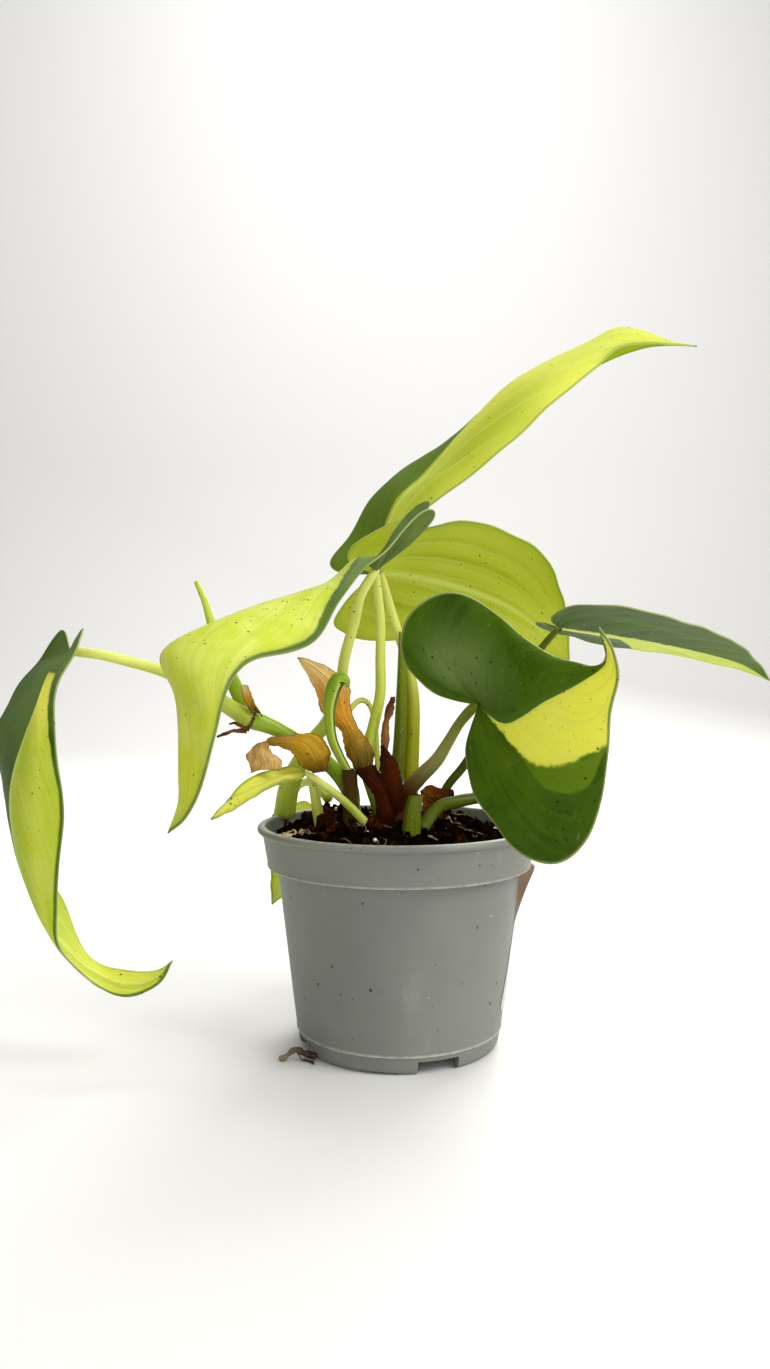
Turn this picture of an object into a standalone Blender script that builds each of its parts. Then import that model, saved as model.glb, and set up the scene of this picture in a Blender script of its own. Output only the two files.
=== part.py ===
"""Potted philodendron: a small climbing plant with limp, folded, two-coloured leaves in a 9 cm nursery pot.

Sizes below are in millimetres from the pot's axis at table level (x right, y back, z up); the model itself
is in metres. The whole plant is shifted by SHIFT so that the middle of its footprint is the origin.
"""

import math

import bmesh
import bpy
import numpy as np
from mathutils import Vector

MM = 0.001

# ---- pot ----
POT_HEIGHT = 69.0
RIM_RADIUS = 45.0
LIP_HEIGHT = 2.6
BAND_HEIGHT = 12.9
BAND_BOTTOM = POT_HEIGHT - BAND_HEIGHT
BAND_TOP_RADIUS = RIM_RADIUS - 1.7
BAND_BOTTOM_RADIUS = RIM_RADIUS - 3.4
BODY_TOP_RADIUS = RIM_RADIUS - 6.4
FOOT_LINE_HEIGHT = 5.6
FOOT_LINE_RADIUS = 32.5
FOOT_RADIUS = 31.6
WALL = 1.2
FLOOR_THICKNESS = 1.4
POT_SEGMENTS = 48
NOTCH_COUNT = 4
NOTCH_ANGLE = -69.0
NOTCH_WIDTH = 13.0
NOTCH_HEIGHT = 4.0
SHALLOW_ANGLE = -102.0
SHALLOW_WIDTH = 11.0
SHALLOW_HEIGHT = 0.8
DRAIN_HOLE_RADIUS = 3.5
DRAIN_CIRCLE = 22.0

# ---- soil ----
SOIL_EDGE = POT_HEIGHT - 4.5
SOIL_CROWN = POT_HEIGHT + 0.5
SOIL_SEGMENTS = 30
SOIL_RINGS = 7

# ---- plant ----
CROWN_LEVEL = 69.5  # height of the soil at the crown that the plant's guide points below are given for
PLANT_LIFT = SOIL_CROWN - CROWN_LEVEL
GAP = 0.3
BLADE_THICKNESS = 0.55
HUSK_THICKNESS = 0.5
RIBS = 20
CROSS = 4
SHIFT = (2.0, 7.0, 0.0)

# ---- label ----
LABEL_START = -15.0
LABEL_END = 70.0
LABEL_LOW = 15.0
LABEL_FLARE_START = 46.0
LABEL_TOP = 55.6
LABEL_FLARE = 4.0
LABEL_THICKNESS = 0.3


def clear_scene():
    """Start from an empty scene with one collection for the plant and one for the cutters."""
    for obj in list(bpy.data.objects):
        bpy.data.objects.remove(obj)
    made = []
    for name in ("Potted_philodendron", "Cutters"):
        collection = bpy.data.collections.new(name)
        bpy.context.scene.collection.children.link(collection)
        made.append(collection)
    made[1].hide_render = True
    return made


plant_collection, cutter_collection = clear_scene()

root = bpy.data.objects.new("Pot_origin", None)
root.location = Vector(SHIFT) * MM
plant_collection.objects.link(root)
crown = bpy.data.objects.new("Plant_origin", None)
crown.location = Vector((0.0, 0.0, PLANT_LIFT)) * MM
crown.parent = root
plant_collection.objects.link(crown)


def material(name, colour, roughness=0.5, metallic=0.0):
    made = bpy.data.materials.new(name)
    made.use_nodes = True
    shader = made.node_tree.nodes["Principled BSDF"]
    shader.inputs["Base Color"].default_value = (*colour, 1.0)
    shader.inputs["Roughness"].default_value = roughness
    shader.inputs["Metallic"].default_value = metallic
    made.diffuse_color = (*colour, 1.0)
    return made


def add_mesh(name, vertices, faces, origin, look, parent=root):
    """A mesh object whose own origin is `origin`; everything is given in millimetres from the pot's axis."""
    origin = Vector(origin)
    mesh = bpy.data.meshes.new(name)
    mesh.from_pydata([(Vector(v) - origin) * MM for v in vertices], [], faces)
    mesh.update()
    obj = bpy.data.objects.new(name, mesh)
    obj.location = origin * MM
    obj.parent = parent
    mesh.materials.append(look)
    plant_collection.objects.link(obj)
    return obj


def smooth_curve(points, count):
    """`count` points evenly spaced along a smooth curve through the guide points."""
    guide = np.array(points, float)
    padded = np.vstack([2 * guide[0] - guide[1], guide, 2 * guide[-1] - guide[-2]])
    fine = []
    for p0, p1, p2, p3 in zip(padded, padded[1:], padded[2:], padded[3:]):
        for t in np.linspace(0.0, 1.0, 12, endpoint=False):
            fine.append(
                0.5
                * (
                    2 * p1
                    + (p2 - p0) * t
                    + (2 * p0 - 5 * p1 + 4 * p2 - p3) * t**2
                    + (3 * p1 - p0 - 3 * p2 + p3) * t**3
                )
            )
    fine.append(guide[-1])
    fine = np.array(fine)
    along = np.concatenate([[0], np.cumsum(np.linalg.norm(np.diff(fine, axis=0), axis=1))])
    wanted = np.linspace(0.0, along[-1], count)
    return np.stack([np.interp(wanted, along, fine[:, k]) for k in range(fine.shape[1])], 1)


def blade(name, midrib, margins, lobe, belly, look, ribs=RIBS, cross=CROSS, thickness=BLADE_THICKNESS):
    """A leaf blade or husk: ribs run from the midrib out to each margin, then Solidify gives it thickness.

    `midrib` runs from the petiole's joint to the tip and each margin runs from the same joint, round its basal
    lobe, to the same tip. `lobe` is the share of the margin that lies round the lobe, whose ribs all start at
    the joint. `belly` bows each half out along a vector.
    """
    spine = smooth_curve(midrib, 200)
    vertices = [spine[0], spine[-1]]
    faces = []
    shares = np.linspace(0.0, 1.0, ribs + 1)
    spine_share = np.clip((shares - lobe) / (1.0 - lobe), 0.0, 1.0)
    spine_index = []
    for share in spine_share:
        if share == 0.0:
            spine_index.append(0)
        elif share == 1.0:
            spine_index.append(1)
        else:
            spine_index.append(len(vertices))
            vertices.append(spine[int(round(share * 199))])
    for side, (margin, bow) in enumerate(zip(margins, belly)):
        edge = smooth_curve(margin, ribs + 1)
        widths = [np.linalg.norm(edge[i] - vertices[spine_index[i]]) for i in range(ribs + 1)]
        rows = [[0] * (cross + 1)]
        for i in range(1, ribs):
            start = np.array(vertices[spine_index[i]])
            row = [spine_index[i]]
            for j in range(1, cross + 1):
                t = j / cross
                swell = 4 * t * (1 - t) * widths[i] / max(widths)
                row.append(len(vertices))
                vertices.append(start + (edge[i] - start) * t + np.array(bow) * swell)
            rows.append(row)
        rows.append([1] * (cross + 1))
        for lower, upper in zip(rows, rows[1:]):
            for j in range(cross):
                corners = [lower[j], upper[j], upper[j + 1], lower[j + 1]]
                corners = list(dict.fromkeys(corners))
                if len(corners) > 2:
                    faces.append(corners if side == 0 else corners[::-1])
    obj = add_mesh(name, vertices, faces, midrib[0], look, crown)
    shell = obj.modifiers.new("Thickness", "SOLIDIFY")
    shell.thickness = thickness * MM
    shell.offset = 0.0
    for polygon in obj.data.polygons:
        polygon.use_smooth = True
    return obj


def stem(name, points, radii, look, steps=12, parent=crown):
    """A round stem or petiole: a bevelled curve through the guide points, with filled ends."""
    path = smooth_curve([(*p, r) for p, r in zip(points, radii)], steps)
    origin = Vector(points[0])
    curve = bpy.data.curves.new(name, "CURVE")
    curve.dimensions = "3D"
    curve.bevel_depth = MM
    curve.bevel_resolution = 2
    curve.use_fill_caps = True
    spline = curve.splines.new("POLY")
    spline.points.add(steps - 1)
    for point, (x, y, z, radius) in zip(spline.points, path):
        point.co = (*((Vector((x, y, z)) - origin) * MM), 1.0)
        point.radius = radius
    obj = bpy.data.objects.new(name, curve)
    obj.location = origin * MM
    obj.parent = parent
    curve.materials.append(look)
    plant_collection.objects.link(obj)
    return obj


def turned(name, profile, steps, look):
    """A shape turned about the pot's axis from a closed (radius, height) outline."""
    count = len(profile)
    obj = add_mesh(name, [(r, 0, z) for r, z in profile], [], (0, 0, 0), look)
    outline = bmesh.new()
    outline.from_mesh(obj.data)
    outline.verts.ensure_lookup_table()
    for i in range(count):
        outline.edges.new((outline.verts[i], outline.verts[(i + 1) % count]))
    outline.to_mesh(obj.data)
    outline.free()
    screw = obj.modifiers.new("Turn", "SCREW")
    screw.axis = "Z"
    screw.steps = steps
    screw.render_steps = steps
    screw.use_merge_vertices = True
    screw.merge_threshold = 0.00001
    screw.use_smooth_shade = True
    return obj


def cutter_box(name, size, place, angle):
    bpy.ops.mesh.primitive_cube_add(size=1.0)
    box = bpy.context.active_object
    box.name = name
    box.dimensions = Vector(size) * MM
    box.location = Vector(place) * MM
    box.rotation_euler = (0, 0, math.radians(angle))
    return box


def cutter_cylinder(name, radius, depth, place):
    bpy.ops.mesh.primitive_cylinder_add(vertices=20, radius=radius * MM, depth=depth * MM)
    rod = bpy.context.active_object
    rod.name = name
    rod.location = Vector(place) * MM
    return rod


def cut(target, cutter):
    """Subtract the cutter, which is kept out of the render."""
    for collection in list(cutter.users_collection):
        collection.objects.unlink(cutter)
    cutter_collection.objects.link(cutter)
    cutter.hide_render = True
    cutter.display_type = "WIRE"
    cutter.parent = root
    boolean = target.modifiers.new("Cut_" + cutter.name, "BOOLEAN")
    boolean.operation = "DIFFERENCE"
    boolean.object = cutter
    boolean.solver = "EXACT"


def body_radius(height):
    """Outer radius of the pot's body between the foot line and the band."""
    share = (height - FOOT_LINE_HEIGHT) / (BAND_BOTTOM - FOOT_LINE_HEIGHT)
    return FOOT_LINE_RADIUS + share * (BODY_TOP_RADIUS - FOOT_LINE_RADIUS)


def build_pot(look):
    floor_low = FOOT_LINE_HEIGHT - 1.0
    floor_top = floor_low + FLOOR_THICKNESS
    shoulder = BAND_BOTTOM + 0.8 * WALL
    profile = [
        (RIM_RADIUS - 2.6, POT_HEIGHT - 0.3),
        (RIM_RADIUS - 1.6, POT_HEIGHT),
        (RIM_RADIUS - 0.5, POT_HEIGHT - 0.3),
        (RIM_RADIUS, POT_HEIGHT - 1.3),
        (RIM_RADIUS - 0.4, POT_HEIGHT - LIP_HEIGHT + 0.4),
        (BAND_TOP_RADIUS, POT_HEIGHT - LIP_HEIGHT),
        (BAND_BOTTOM_RADIUS, BAND_BOTTOM + 0.4),
        (BAND_BOTTOM_RADIUS - 0.4, BAND_BOTTOM),
        (BODY_TOP_RADIUS, BAND_BOTTOM - 0.2),
        (FOOT_LINE_RADIUS, FOOT_LINE_HEIGHT),
        (FOOT_LINE_RADIUS - 0.3, FOOT_LINE_HEIGHT - 0.5),
        (FOOT_RADIUS, 0.8),
        (FOOT_RADIUS - 0.6, 0.0),
        (FOOT_RADIUS - 2.4, 0.0),
        (FOOT_RADIUS - 2.0, floor_low),
        (0.0, floor_low),
        (0.0, floor_top),
        (FOOT_LINE_RADIUS - WALL - 0.6, floor_top),
        (body_radius(floor_top + 1.0) - WALL, floor_top + 1.0),
        (BODY_TOP_RADIUS - WALL, shoulder),
        (BAND_BOTTOM_RADIUS - WALL, shoulder + 0.8),
        (BAND_TOP_RADIUS - WALL, POT_HEIGHT - LIP_HEIGHT),
    ]
    pot = turned("pot", profile, POT_SEGMENTS, look)
    for i in range(NOTCH_COUNT):
        angle = NOTCH_ANGLE + i * 360.0 / NOTCH_COUNT
        turn = math.radians(angle)
        place = (FOOT_RADIUS * math.cos(turn), FOOT_RADIUS * math.sin(turn), 0.0)
        cut(pot, cutter_box(f"notch_{i}", (10.0, NOTCH_WIDTH, 2 * NOTCH_HEIGHT), place, angle))
        angle = SHALLOW_ANGLE + i * 360.0 / NOTCH_COUNT
        turn = math.radians(angle)
        place = (FOOT_RADIUS * math.cos(turn), FOOT_RADIUS * math.sin(turn), 0.0)
        cut(pot, cutter_box(f"shallow_{i}", (10.0, SHALLOW_WIDTH, 2 * SHALLOW_HEIGHT), place, angle))
        turn = math.radians(NOTCH_ANGLE + (i + 0.5) * 360.0 / NOTCH_COUNT)
        place = (DRAIN_CIRCLE * math.cos(turn), DRAIN_CIRCLE * math.sin(turn), floor_low + 0.5)
        cut(pot, cutter_cylinder(f"drain_{i}", DRAIN_HOLE_RADIUS, 8.0, place))
    cut(pot, cutter_cylinder("drain_middle", DRAIN_HOLE_RADIUS, 8.0, (0.0, 0.0, floor_low + 0.5)))
    return pot


def soil_height(x, y):
    """Top of the soil: flat round the crown, heaped at the back left and lower at the pot's wall."""
    from_crown = math.hypot(x + 6.0, y - 1.0)
    rise = 1.0 / (1.0 + math.exp((from_crown - 25.0) / 3.5))
    heap = 4.5 * math.exp(-((x + 24.0) ** 2 + (y - 22.0) ** 2) / 130.0)
    heap += 2.5 * math.exp(-((x - 18.0) ** 2 + (y - 24.0) ** 2) / 110.0)
    ripple = 0.5 * math.sin(0.55 * x + 1.0) * math.cos(0.5 * y) * (1.0 - rise)
    return SOIL_EDGE + (SOIL_CROWN - SOIL_EDGE) * rise + heap + ripple


def build_soil(look):
    """A plug of potting soil that fills the pot with a small clearance and has a lumpy top."""
    floor = FOOT_LINE_HEIGHT - 1.0 + FLOOR_THICKNESS + GAP
    shoulder = BAND_BOTTOM + 0.8 * WALL
    wall = [
        (body_radius(floor + 1.2) - WALL - GAP - 1.0, floor),
        (body_radius(floor + 1.2) - WALL - GAP, floor + 1.2),
        (BODY_TOP_RADIUS - WALL - GAP, shoulder),
        (BAND_BOTTOM_RADIUS - WALL - GAP, shoulder + 1.5),
    ]
    vertices = [(0.0, 0.0, floor)]
    rings = []
    angles = [2 * math.pi * k / SOIL_SEGMENTS for k in range(SOIL_SEGMENTS)]
    for radius, height in wall:
        rings.append([len(vertices) + k for k in range(SOIL_SEGMENTS)])
        vertices += [(radius * math.cos(a), radius * math.sin(a), height) for a in angles]
    top_radius = BAND_BOTTOM_RADIUS - WALL - GAP
    for ring in range(SOIL_RINGS, 0, -1):
        radius = top_radius * ring / SOIL_RINGS
        rings.append([len(vertices) + k for k in range(SOIL_SEGMENTS)])
        for a in angles:
            x, y = radius * math.cos(a), radius * math.sin(a)
            vertices.append((x, y, soil_height(x, y)))
    vertices.append((0.0, 0.0, soil_height(0.0, 0.0)))
    peak = len(vertices) - 1
    faces = []
    for k in range(SOIL_SEGMENTS):
        following = (k + 1) % SOIL_SEGMENTS
        faces.append((0, rings[0][following], rings[0][k]))
        for low, high in zip(rings, rings[1:]):
            faces.append((low[k], low[following], high[following], high[k]))
        faces.append((rings[-1][k], rings[-1][following], peak))
    return add_mesh("soil", vertices, faces, (0, 0, 0), look)


def build_label(look):
    """A paper label stuck round the pot's right side, its top edge peeling outwards."""
    rows, columns = 9, 12
    vertices = []
    for i in range(rows + 1):
        share = i / rows
        height = LABEL_LOW + share * (LABEL_TOP - LABEL_LOW)
        flare = max(0.0, (height - LABEL_FLARE_START) / (LABEL_TOP - LABEL_FLARE_START))
        for j in range(columns + 1):
            across = j / columns
            corner = 3.0 * max(0.0, 1.0 - min(share, 1 - share) * 12.0) ** 2
            inset = corner * (1.0 if across in (0.0, 1.0) else 0.0)
            angle = LABEL_START + across * (LABEL_END - LABEL_START)
            angle += inset * (1.0 if across < 0.5 else -1.0)
            peel = LABEL_FLARE * flare**1.5 * math.exp(-((across / 0.45) ** 2))
            radius = body_radius(height) + GAP + LABEL_THICKNESS / 2 + peel
            turn = math.radians(angle)
            vertices.append((radius * math.cos(turn), radius * math.sin(turn), height))
    faces = []
    for i in range(rows):
        for j in range(columns):
            a = i * (columns + 1) + j
            faces.append((a, a + 1, a + columns + 2, a + columns + 1))
    obj = add_mesh("plant_label", vertices, faces, (body_radius(35.0), 0, 35.0), look)
    shell = obj.modifiers.new("Thickness", "SOLIDIFY")
    shell.thickness = LABEL_THICKNESS * MM
    shell.offset = 0.0
    return obj


GREY_PLASTIC = material("pot_plastic", (0.19, 0.20, 0.21), 0.45)
SOIL_LOOK = material("soil", (0.03, 0.02, 0.015), 0.95)
PAPER = material("label_paper", (0.75, 0.72, 0.68), 0.7)
LIME = material("leaf_lime", (0.50, 0.60, 0.08), 0.45)
GREEN = material("leaf_green", (0.08, 0.20, 0.03), 0.40)
STEM_LIME = material("stem_lime", (0.42, 0.55, 0.12), 0.5)
STEM_GREEN = material("stem_green", (0.14, 0.27, 0.05), 0.5)
STUMP = material("stump", (0.22, 0.24, 0.07), 0.7)
HUSK = material("husk_brown", (0.42, 0.20, 0.07), 0.7)
HUSK_RED = material("husk_red", (0.12, 0.025, 0.015), 0.6)
ROOT_LOOK = material("root_brown", (0.12, 0.05, 0.03), 0.9)

build_pot(GREY_PLASTIC)
build_soil(SOIL_LOOK)
build_label(PAPER)

# ---- leaf blades: joint-to-tip midrib, then the two margins from the joint round the lobe to the tip ----
blade(
    "leaf_top",
    [(-7, 0, 148), (-1, 3, 169), (9, 6, 180), (21, 9, 195), (35, 12, 210), (48, 16, 219), (65, 20, 228),
     (74, 22, 233), (91, 24, 231), (102, 25, 228)],
    [
        [(-7, 0, 148), (-16, -5, 151), (-15, -8, 156), (-4, -9, 162), (7, -11, 167), (21, -14, 176),
         (36, -14, 189), (52, -8, 204), (64, 2, 216), (80, 14, 224), (92, 20, 226), (102, 25, 228)],
        [(-7, 0, 148), (-18, 8, 149), (-23, 15, 153), (-17, 24, 163), (-6, 32, 181), (6, 36, 191),
         (19, 38, 197), (36, 38, 207), (56, 37, 217), (70, 34, 224), (86, 30, 227), (102, 25, 228)],
    ],
    0.22, [(-1, -1, 2), (-1, 2, 2)], LIME,
)
blade(
    "leaf_front_left",
    [(-7, -14, 148), (-13, -20, 151), (-20, -32, 143), (-27, -38, 140), (-39, -50, 135), (-50, -57, 130),
     (-60, -60, 125), (-63, -62, 120), (-59, -62, 112), (-58, -62, 103), (-58, -62, 91), (-58, -61, 83),
     (-61, -60, 75)],
    [
        [(-7, -14, 148), (4, -18, 156), (11, -21, 164), (7, -24, 165), (-2, -27, 154), (-10, -32, 147),
         (-17, -46, 136), (-22, -56, 126), (-29, -62, 122), (-38, -68, 120), (-43, -72, 114),
         (-46, -74, 103), (-49, -72, 91), (-55, -66, 80), (-61, -60, 75)],
        [(-7, -14, 148), (0, -14, 157), (10, -16, 168), (6, -15, 168), (-4, -12, 156), (-17, -9, 143),
         (-30, -14, 133), (-43, -24, 128), (-53, -33, 122), (-60, -42, 112), (-57, -47, 98),
         (-57, -53, 85), (-61, -60, 75)],
    ],
    0.30, [(0, -2, 2), (-1, 1, 2)], LIME,
)
blade(
    "leaf_back",
    [(-6, 5, 149), (5, 9, 148), (16, 13, 146), (27, 17, 143), (39, 20, 138), (50, 24, 130), (59, 26, 121)],
    [
        [(-6, 5, 149), (-6, 3, 154), (0, 1, 158), (7, -2, 162), (17, -5, 164), (27, -6, 163),
         (38, -4, 159), (48, 1, 152), (53, 9, 143), (57, 18, 134), (59, 26, 121)],
        [(-6, 5, 149), (-15, 12, 143), (-22, 22, 134), (-18, 27, 130), (-9, 31, 128), (3, 33, 128),
         (15, 35, 126), (33, 36, 125), (46, 34, 124), (59, 26, 121)],
    ],
    0.22, [(0, 3, 2), (0, 2, -2)], LIME,
)
blade(
    "leaf_front_right",
    [(22, -40, 108), (28, -50, 104), (36, -64, 110), (44, -74, 115), (49, -79, 120), (47, -80, 128)],
    [
        [(22, -40, 108), (16, -39, 109), (8, -37, 112), (1, -36, 120), (1, -36, 131), (8, -38, 138),
         (15, -42, 139), (23, -48, 135), (33, -58, 125), (41, -68, 120), (47, -76, 118), (49, -80, 121),
         (47, -80, 128)],
        [(22, -40, 108), (18, -42, 96), (20, -48, 84), (25, -54, 76), (32, -60, 69), (40, -65, 68),
         (46, -69, 74), (49, -73, 84), (50, -77, 97), (50, -80, 107), (51, -83, 116), (50, -82, 123),
         (47, -80, 128)],
    ],
    0.30, [(0, -3, 1), (0, -4, 0)], GREEN,
)
blade(
    "leaf_right",
    [(50, -10, 130), (66, -4, 128), (81, 2, 126), (103, 10, 122), (115, 15, 119), (125, 18, 114)],
    [
        [(50, -10, 130), (45, -20, 133), (50, -30, 136), (59, -36, 136), (71, -34, 134), (85, -27, 131),
         (104, -10, 126), (119, 10, 119), (125, 18, 114)],
        [(50, -10, 130), (43, -5, 132.5), (46, 2, 131), (57, 10, 128.5), (72, 19, 125.5), (88, 27, 124),
         (105, 28, 121), (119, 24, 117), (125, 18, 114)],
    ],
    0.20, [(0, 0, 1), (0, 0, 1)], GREEN,
)
blade(
    "leaf_left_hanging",
    [(-97, -25, 123), (-102, -27, 118), (-107, -28, 105), (-112, -30, 89), (-113, -31, 77),
     (-110, -32, 61), (-104, -33, 47), (-97, -33, 38), (-90, -32, 31), (-80, -30, 26), (-72, -28, 27),
     (-67, -26, 32)],
    [
        [(-97, -25, 123), (-92, -28, 130), (-91, -38, 124), (-94, -44, 115), (-95, -46, 104),
         (-94, -47, 93), (-92, -47, 78), (-94, -46, 65), (-95, -44, 53), (-96, -41, 42), (-93, -38, 34),
         (-86, -35, 27), (-79, -32, 23), (-70, -29, 26), (-67, -26, 32)],
        [(-97, -25, 123), (-101, -20, 130), (-111, -11, 120), (-122, -4, 109), (-129, 0, 96),
         (-126, 2, 81), (-120, 0, 65), (-111, -8, 53), (-103, -16, 49), (-97, -21, 39), (-90, -25, 31),
         (-80, -26, 29), (-71, -26, 29), (-67, -26, 32)],
    ],
    0.15, [(0, -4, 0), (-2, 2, 0)], LIME,
)
blade(
    "leaf_small",
    [(-29, -13, 86), (-36, -18, 85), (-44, -26, 82), (-50, -32, 79), (-54, -36, 75)],
    [
        [(-29, -13, 86), (-32, -11, 88), (-38, -14, 87), (-43, -20, 86), (-47, -25, 84), (-50, -31, 80),
         (-54, -36, 75)],
        [(-29, -13, 86), (-30, -18, 85), (-33, -22, 84), (-39, -28, 81), (-46, -33, 78), (-51, -36, 76),
         (-54, -36, 75)],
    ],
    0.15, [(0, 0, -1), (0, 0, -1)], LIME, ribs=12, cross=2,
)
blade(
    "leaf_behind_pot",
    [(-40, 56, 66), (-42, 62, 52), (-44, 62, 40), (-47, 58, 29)],
    [
        [(-40, 56, 66), (-45, 56, 68), (-50, 60, 58), (-50, 62, 47), (-49, 60, 38), (-47, 58, 29)],
        [(-40, 56, 66), (-34, 60, 68), (-28, 66, 58), (-30, 68, 47), (-38, 64, 36), (-47, 58, 29)],
    ],
    0.20, [(0, 2, 0), (0, 2, 0)], LIME, ribs=12, cross=3,
)

# ---- petioles and stems: guide points with the stem's radius at each ----
stem("petiole_top", [(-7.3, 0.6, 146.6), (-6, 2, 134), (-6, 2, 121), (-6, 0, 110), (-8, -2, 100),
                     (-9, -4, 91), (-8, -5, 78), (-7, -5, 70.3)],
     [1.3, 1.5, 1.6, 1.7, 1.8, 1.8, 1.8, 1.8], STEM_LIME, 16)
stem("petiole_front_left", [(-8.2, -14.3, 146.2), (-12, -14, 140), (-14, -10, 132), (-17, -6, 122),
                            (-19, -1, 111), (-23, 3, 101), (-29, 8, 93), (-36, 15, 80), (-38, 18, 72)],
     [1.3, 1.5, 1.6, 1.7, 1.8, 2.0, 2.4, 3.4, 3.6], STEM_LIME, 16)
stem("petiole_back", [(-5.0, 6.3, 146.1), (-3, 8, 139), (0, 8, 129), (3, 8, 119), (5, 7, 108),
                      (5, 6, 95), (4, 5, 79), (3.6, 5, 70.3)],
     [1.3, 1.4, 1.5, 1.8, 2.2, 2.4, 2.4, 2.4], STEM_LIME, 16)
stem("petiole_front_right", [(20.4, -38.2, 106.9), (17, -30, 102), (14, -24, 96), (11, -17, 90),
                             (6, -10, 84), (1, -5, 77), (0, -4.5, 70.4)],
     [1.4, 1.5, 1.6, 1.8, 2.0, 2.1, 2.1], STEM_GREEN, 14)
stem("petiole_right", [(48.6, -9.2, 129.2), (44, -7, 124), (35, -4, 111), (27, 0, 97), (21, 2, 87),
                       (15, 3, 79), (12, 4, 70.3)],
     [1.0, 1.1, 1.2, 1.3, 1.4, 1.4, 1.4], STEM_GREEN, 14)
stem("petiole_left_hanging", [(-95.6, -25, 122.8), (-88, -25, 122), (-80, -24, 120), (-70, -22, 117),
                              (-59, -18, 112), (-49.5, -16, 107)],
     [1.3, 1.5, 1.6, 1.7, 2.0, 2.4], STEM_LIME, 12)
stem("petiole_small", [(-28, -14, 85.6), (-24, -14, 83), (-16, -13, 76.5), (-10, -12.5, 70.6)],
     [1.0, 1.2, 1.3, 1.3], STEM_LIME, 8)
stem("petiole_behind_pot", [(-39.4, 54.4, 67), (-36, 47, 75), (-30, 36, 77.5), (-24, 27, 74.6)],
     [1.0, 1.3, 1.5, 1.6], STEM_LIME, 10)
stem("stem_main", [(0, 4.6, 121), (0.6, 4.2, 108), (0.2, 3.6, 92), (-1.2, 2.8, 79), (-1.8, 2.6, 70.3)],
     [0.7, 1.9, 2.2, 2.2, 2.2], STEM_GREEN, 10)
stem("stem_left_branch", [(-45, -14.5, 103.5), (-38, -12, 100), (-31, -9, 95), (-22, -5, 88),
                          (-16, -1, 79), (-14, 2, 70.6)],
     [2.3, 2.3, 2.3, 2.3, 2.3, 2.3], STEM_GREEN, 12)
stem("stem_low_right", [(7.5, -12, 70.6), (12, -10, 75), (18, -8, 76.5), (26, -4, 77.5)],
     [1.9, 2.0, 2.0, 2.0], STEM_GREEN, 8)
stem("stem_arched", [(-6.5, 3.8, 70.4), (-7, 4.2, 90), (-8, 4.5, 102), (-10, 4.5, 107), (-13, 4, 107.5),
                     (-16, 3.5, 104), (-17.5, 3, 98)],
     [0.9, 0.9, 0.9, 0.9, 0.9, 0.9, 0.7], STEM_LIME, 18)
stem("stem_pale_stub", [(-28, -3, 84), (-26.5, -2.5, 77), (-25, -2, 70.3)], [1.3, 1.6, 1.8], STEM_LIME, 5)
stem("stump_left", [(-15.5, -7, 85), (-15, -6.5, 77), (-14.5, -6, 70.3)], [2.2, 2.3, 2.4], STUMP, 5)
stem("stump_front", [(5, -17, 79.5), (4, -17, 75), (3, -17, 70.4)], [2.0, 2.5, 2.8], STUMP, 5)
stem("new_leaf_spear", [(-63, -8, 145), (-60, -9, 138), (-57, -10, 128), (-53, -11, 118),
                        (-48.5, -11, 110)],
     [0.4, 1.2, 1.9, 2.0, 1.7], STEM_LIME, 10)
stem("new_leaf_rolled", [(-16, -15, 114.5), (-18, -14.5, 115.5), (-21, -14, 111), (-22, -14, 105),
                         (-20.5, -14, 97), (-17, -13, 89), (-13.5, -12, 82), (-12.5, -10.5, 77)],
     [0.5, 1.5, 1.9, 2.0, 1.9, 1.7, 1.4, 1.2], STEM_LIME, 16)
stem("drain_root", [(-29.3, -12.8, 1.9), (-33, -15.5, 1.4), (-35, -18.5, 1.1), (-31, -21.5, 1.0),
                    (-24.5, -24, 0.9)], [0.7, 0.8, 0.9, 0.8, 0.5], ROOT_LOOK, 10, root)

# ---- papery husks round the nodes ----
blade(
    "husk_tall",
    [(-31, -5, 121), (-26, -5, 113), (-20, -7, 105), (-15, -8, 96), (-12.5, -8, 87)],
    [
        [(-31, -5, 121), (-28, -3, 113), (-24, -2.5, 105), (-19, -3, 96), (-12.5, -8, 87)],
        [(-31, -5, 121), (-23, -7, 118), (-16, -7, 110), (-12.5, -7, 97), (-12.5, -8, 87)],
    ],
    0.0, [(-1, -1, 0), (1, -1, 0)], HUSK, ribs=10, cross=2, thickness=HUSK_THICKNESS,
)
blade(
    "husk_low",
    [(-44, -17, 91), (-37, -16, 94), (-30, -16, 95), (-23.5, -15, 90)],
    [
        [(-44, -17, 91), (-40, -15, 96), (-31, -14, 97.5), (-24, -14, 95), (-23.5, -15, 90)],
        [(-44, -17, 91), (-38, -16, 90.5), (-31, -16, 90.5), (-26, -16, 88), (-23.5, -15, 90)],
    ],
    0.0, [(0, -1, 0), (0, -1, 0)], HUSK, ribs=10, cross=2, thickness=HUSK_THICKNESS,
)
blade(
    "husk_stem",
    [(-2, -5, 109), (-3.5, -6, 102), (-4.5, -6, 94), (-5, -6.5, 88)],
    [
        [(-2, -5, 109), (-4.5, -5, 102), (-6, -5.5, 95), (-5, -6.5, 88)],
        [(-2, -5, 109), (-2, -5, 102), (-2.5, -5.5, 95), (-5, -6.5, 88)],
    ],
    0.0, [(0, -0.5, 0), (0, -0.5, 0)], HUSK_RED, ribs=8, cross=2, thickness=HUSK_THICKNESS,
)
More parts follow.
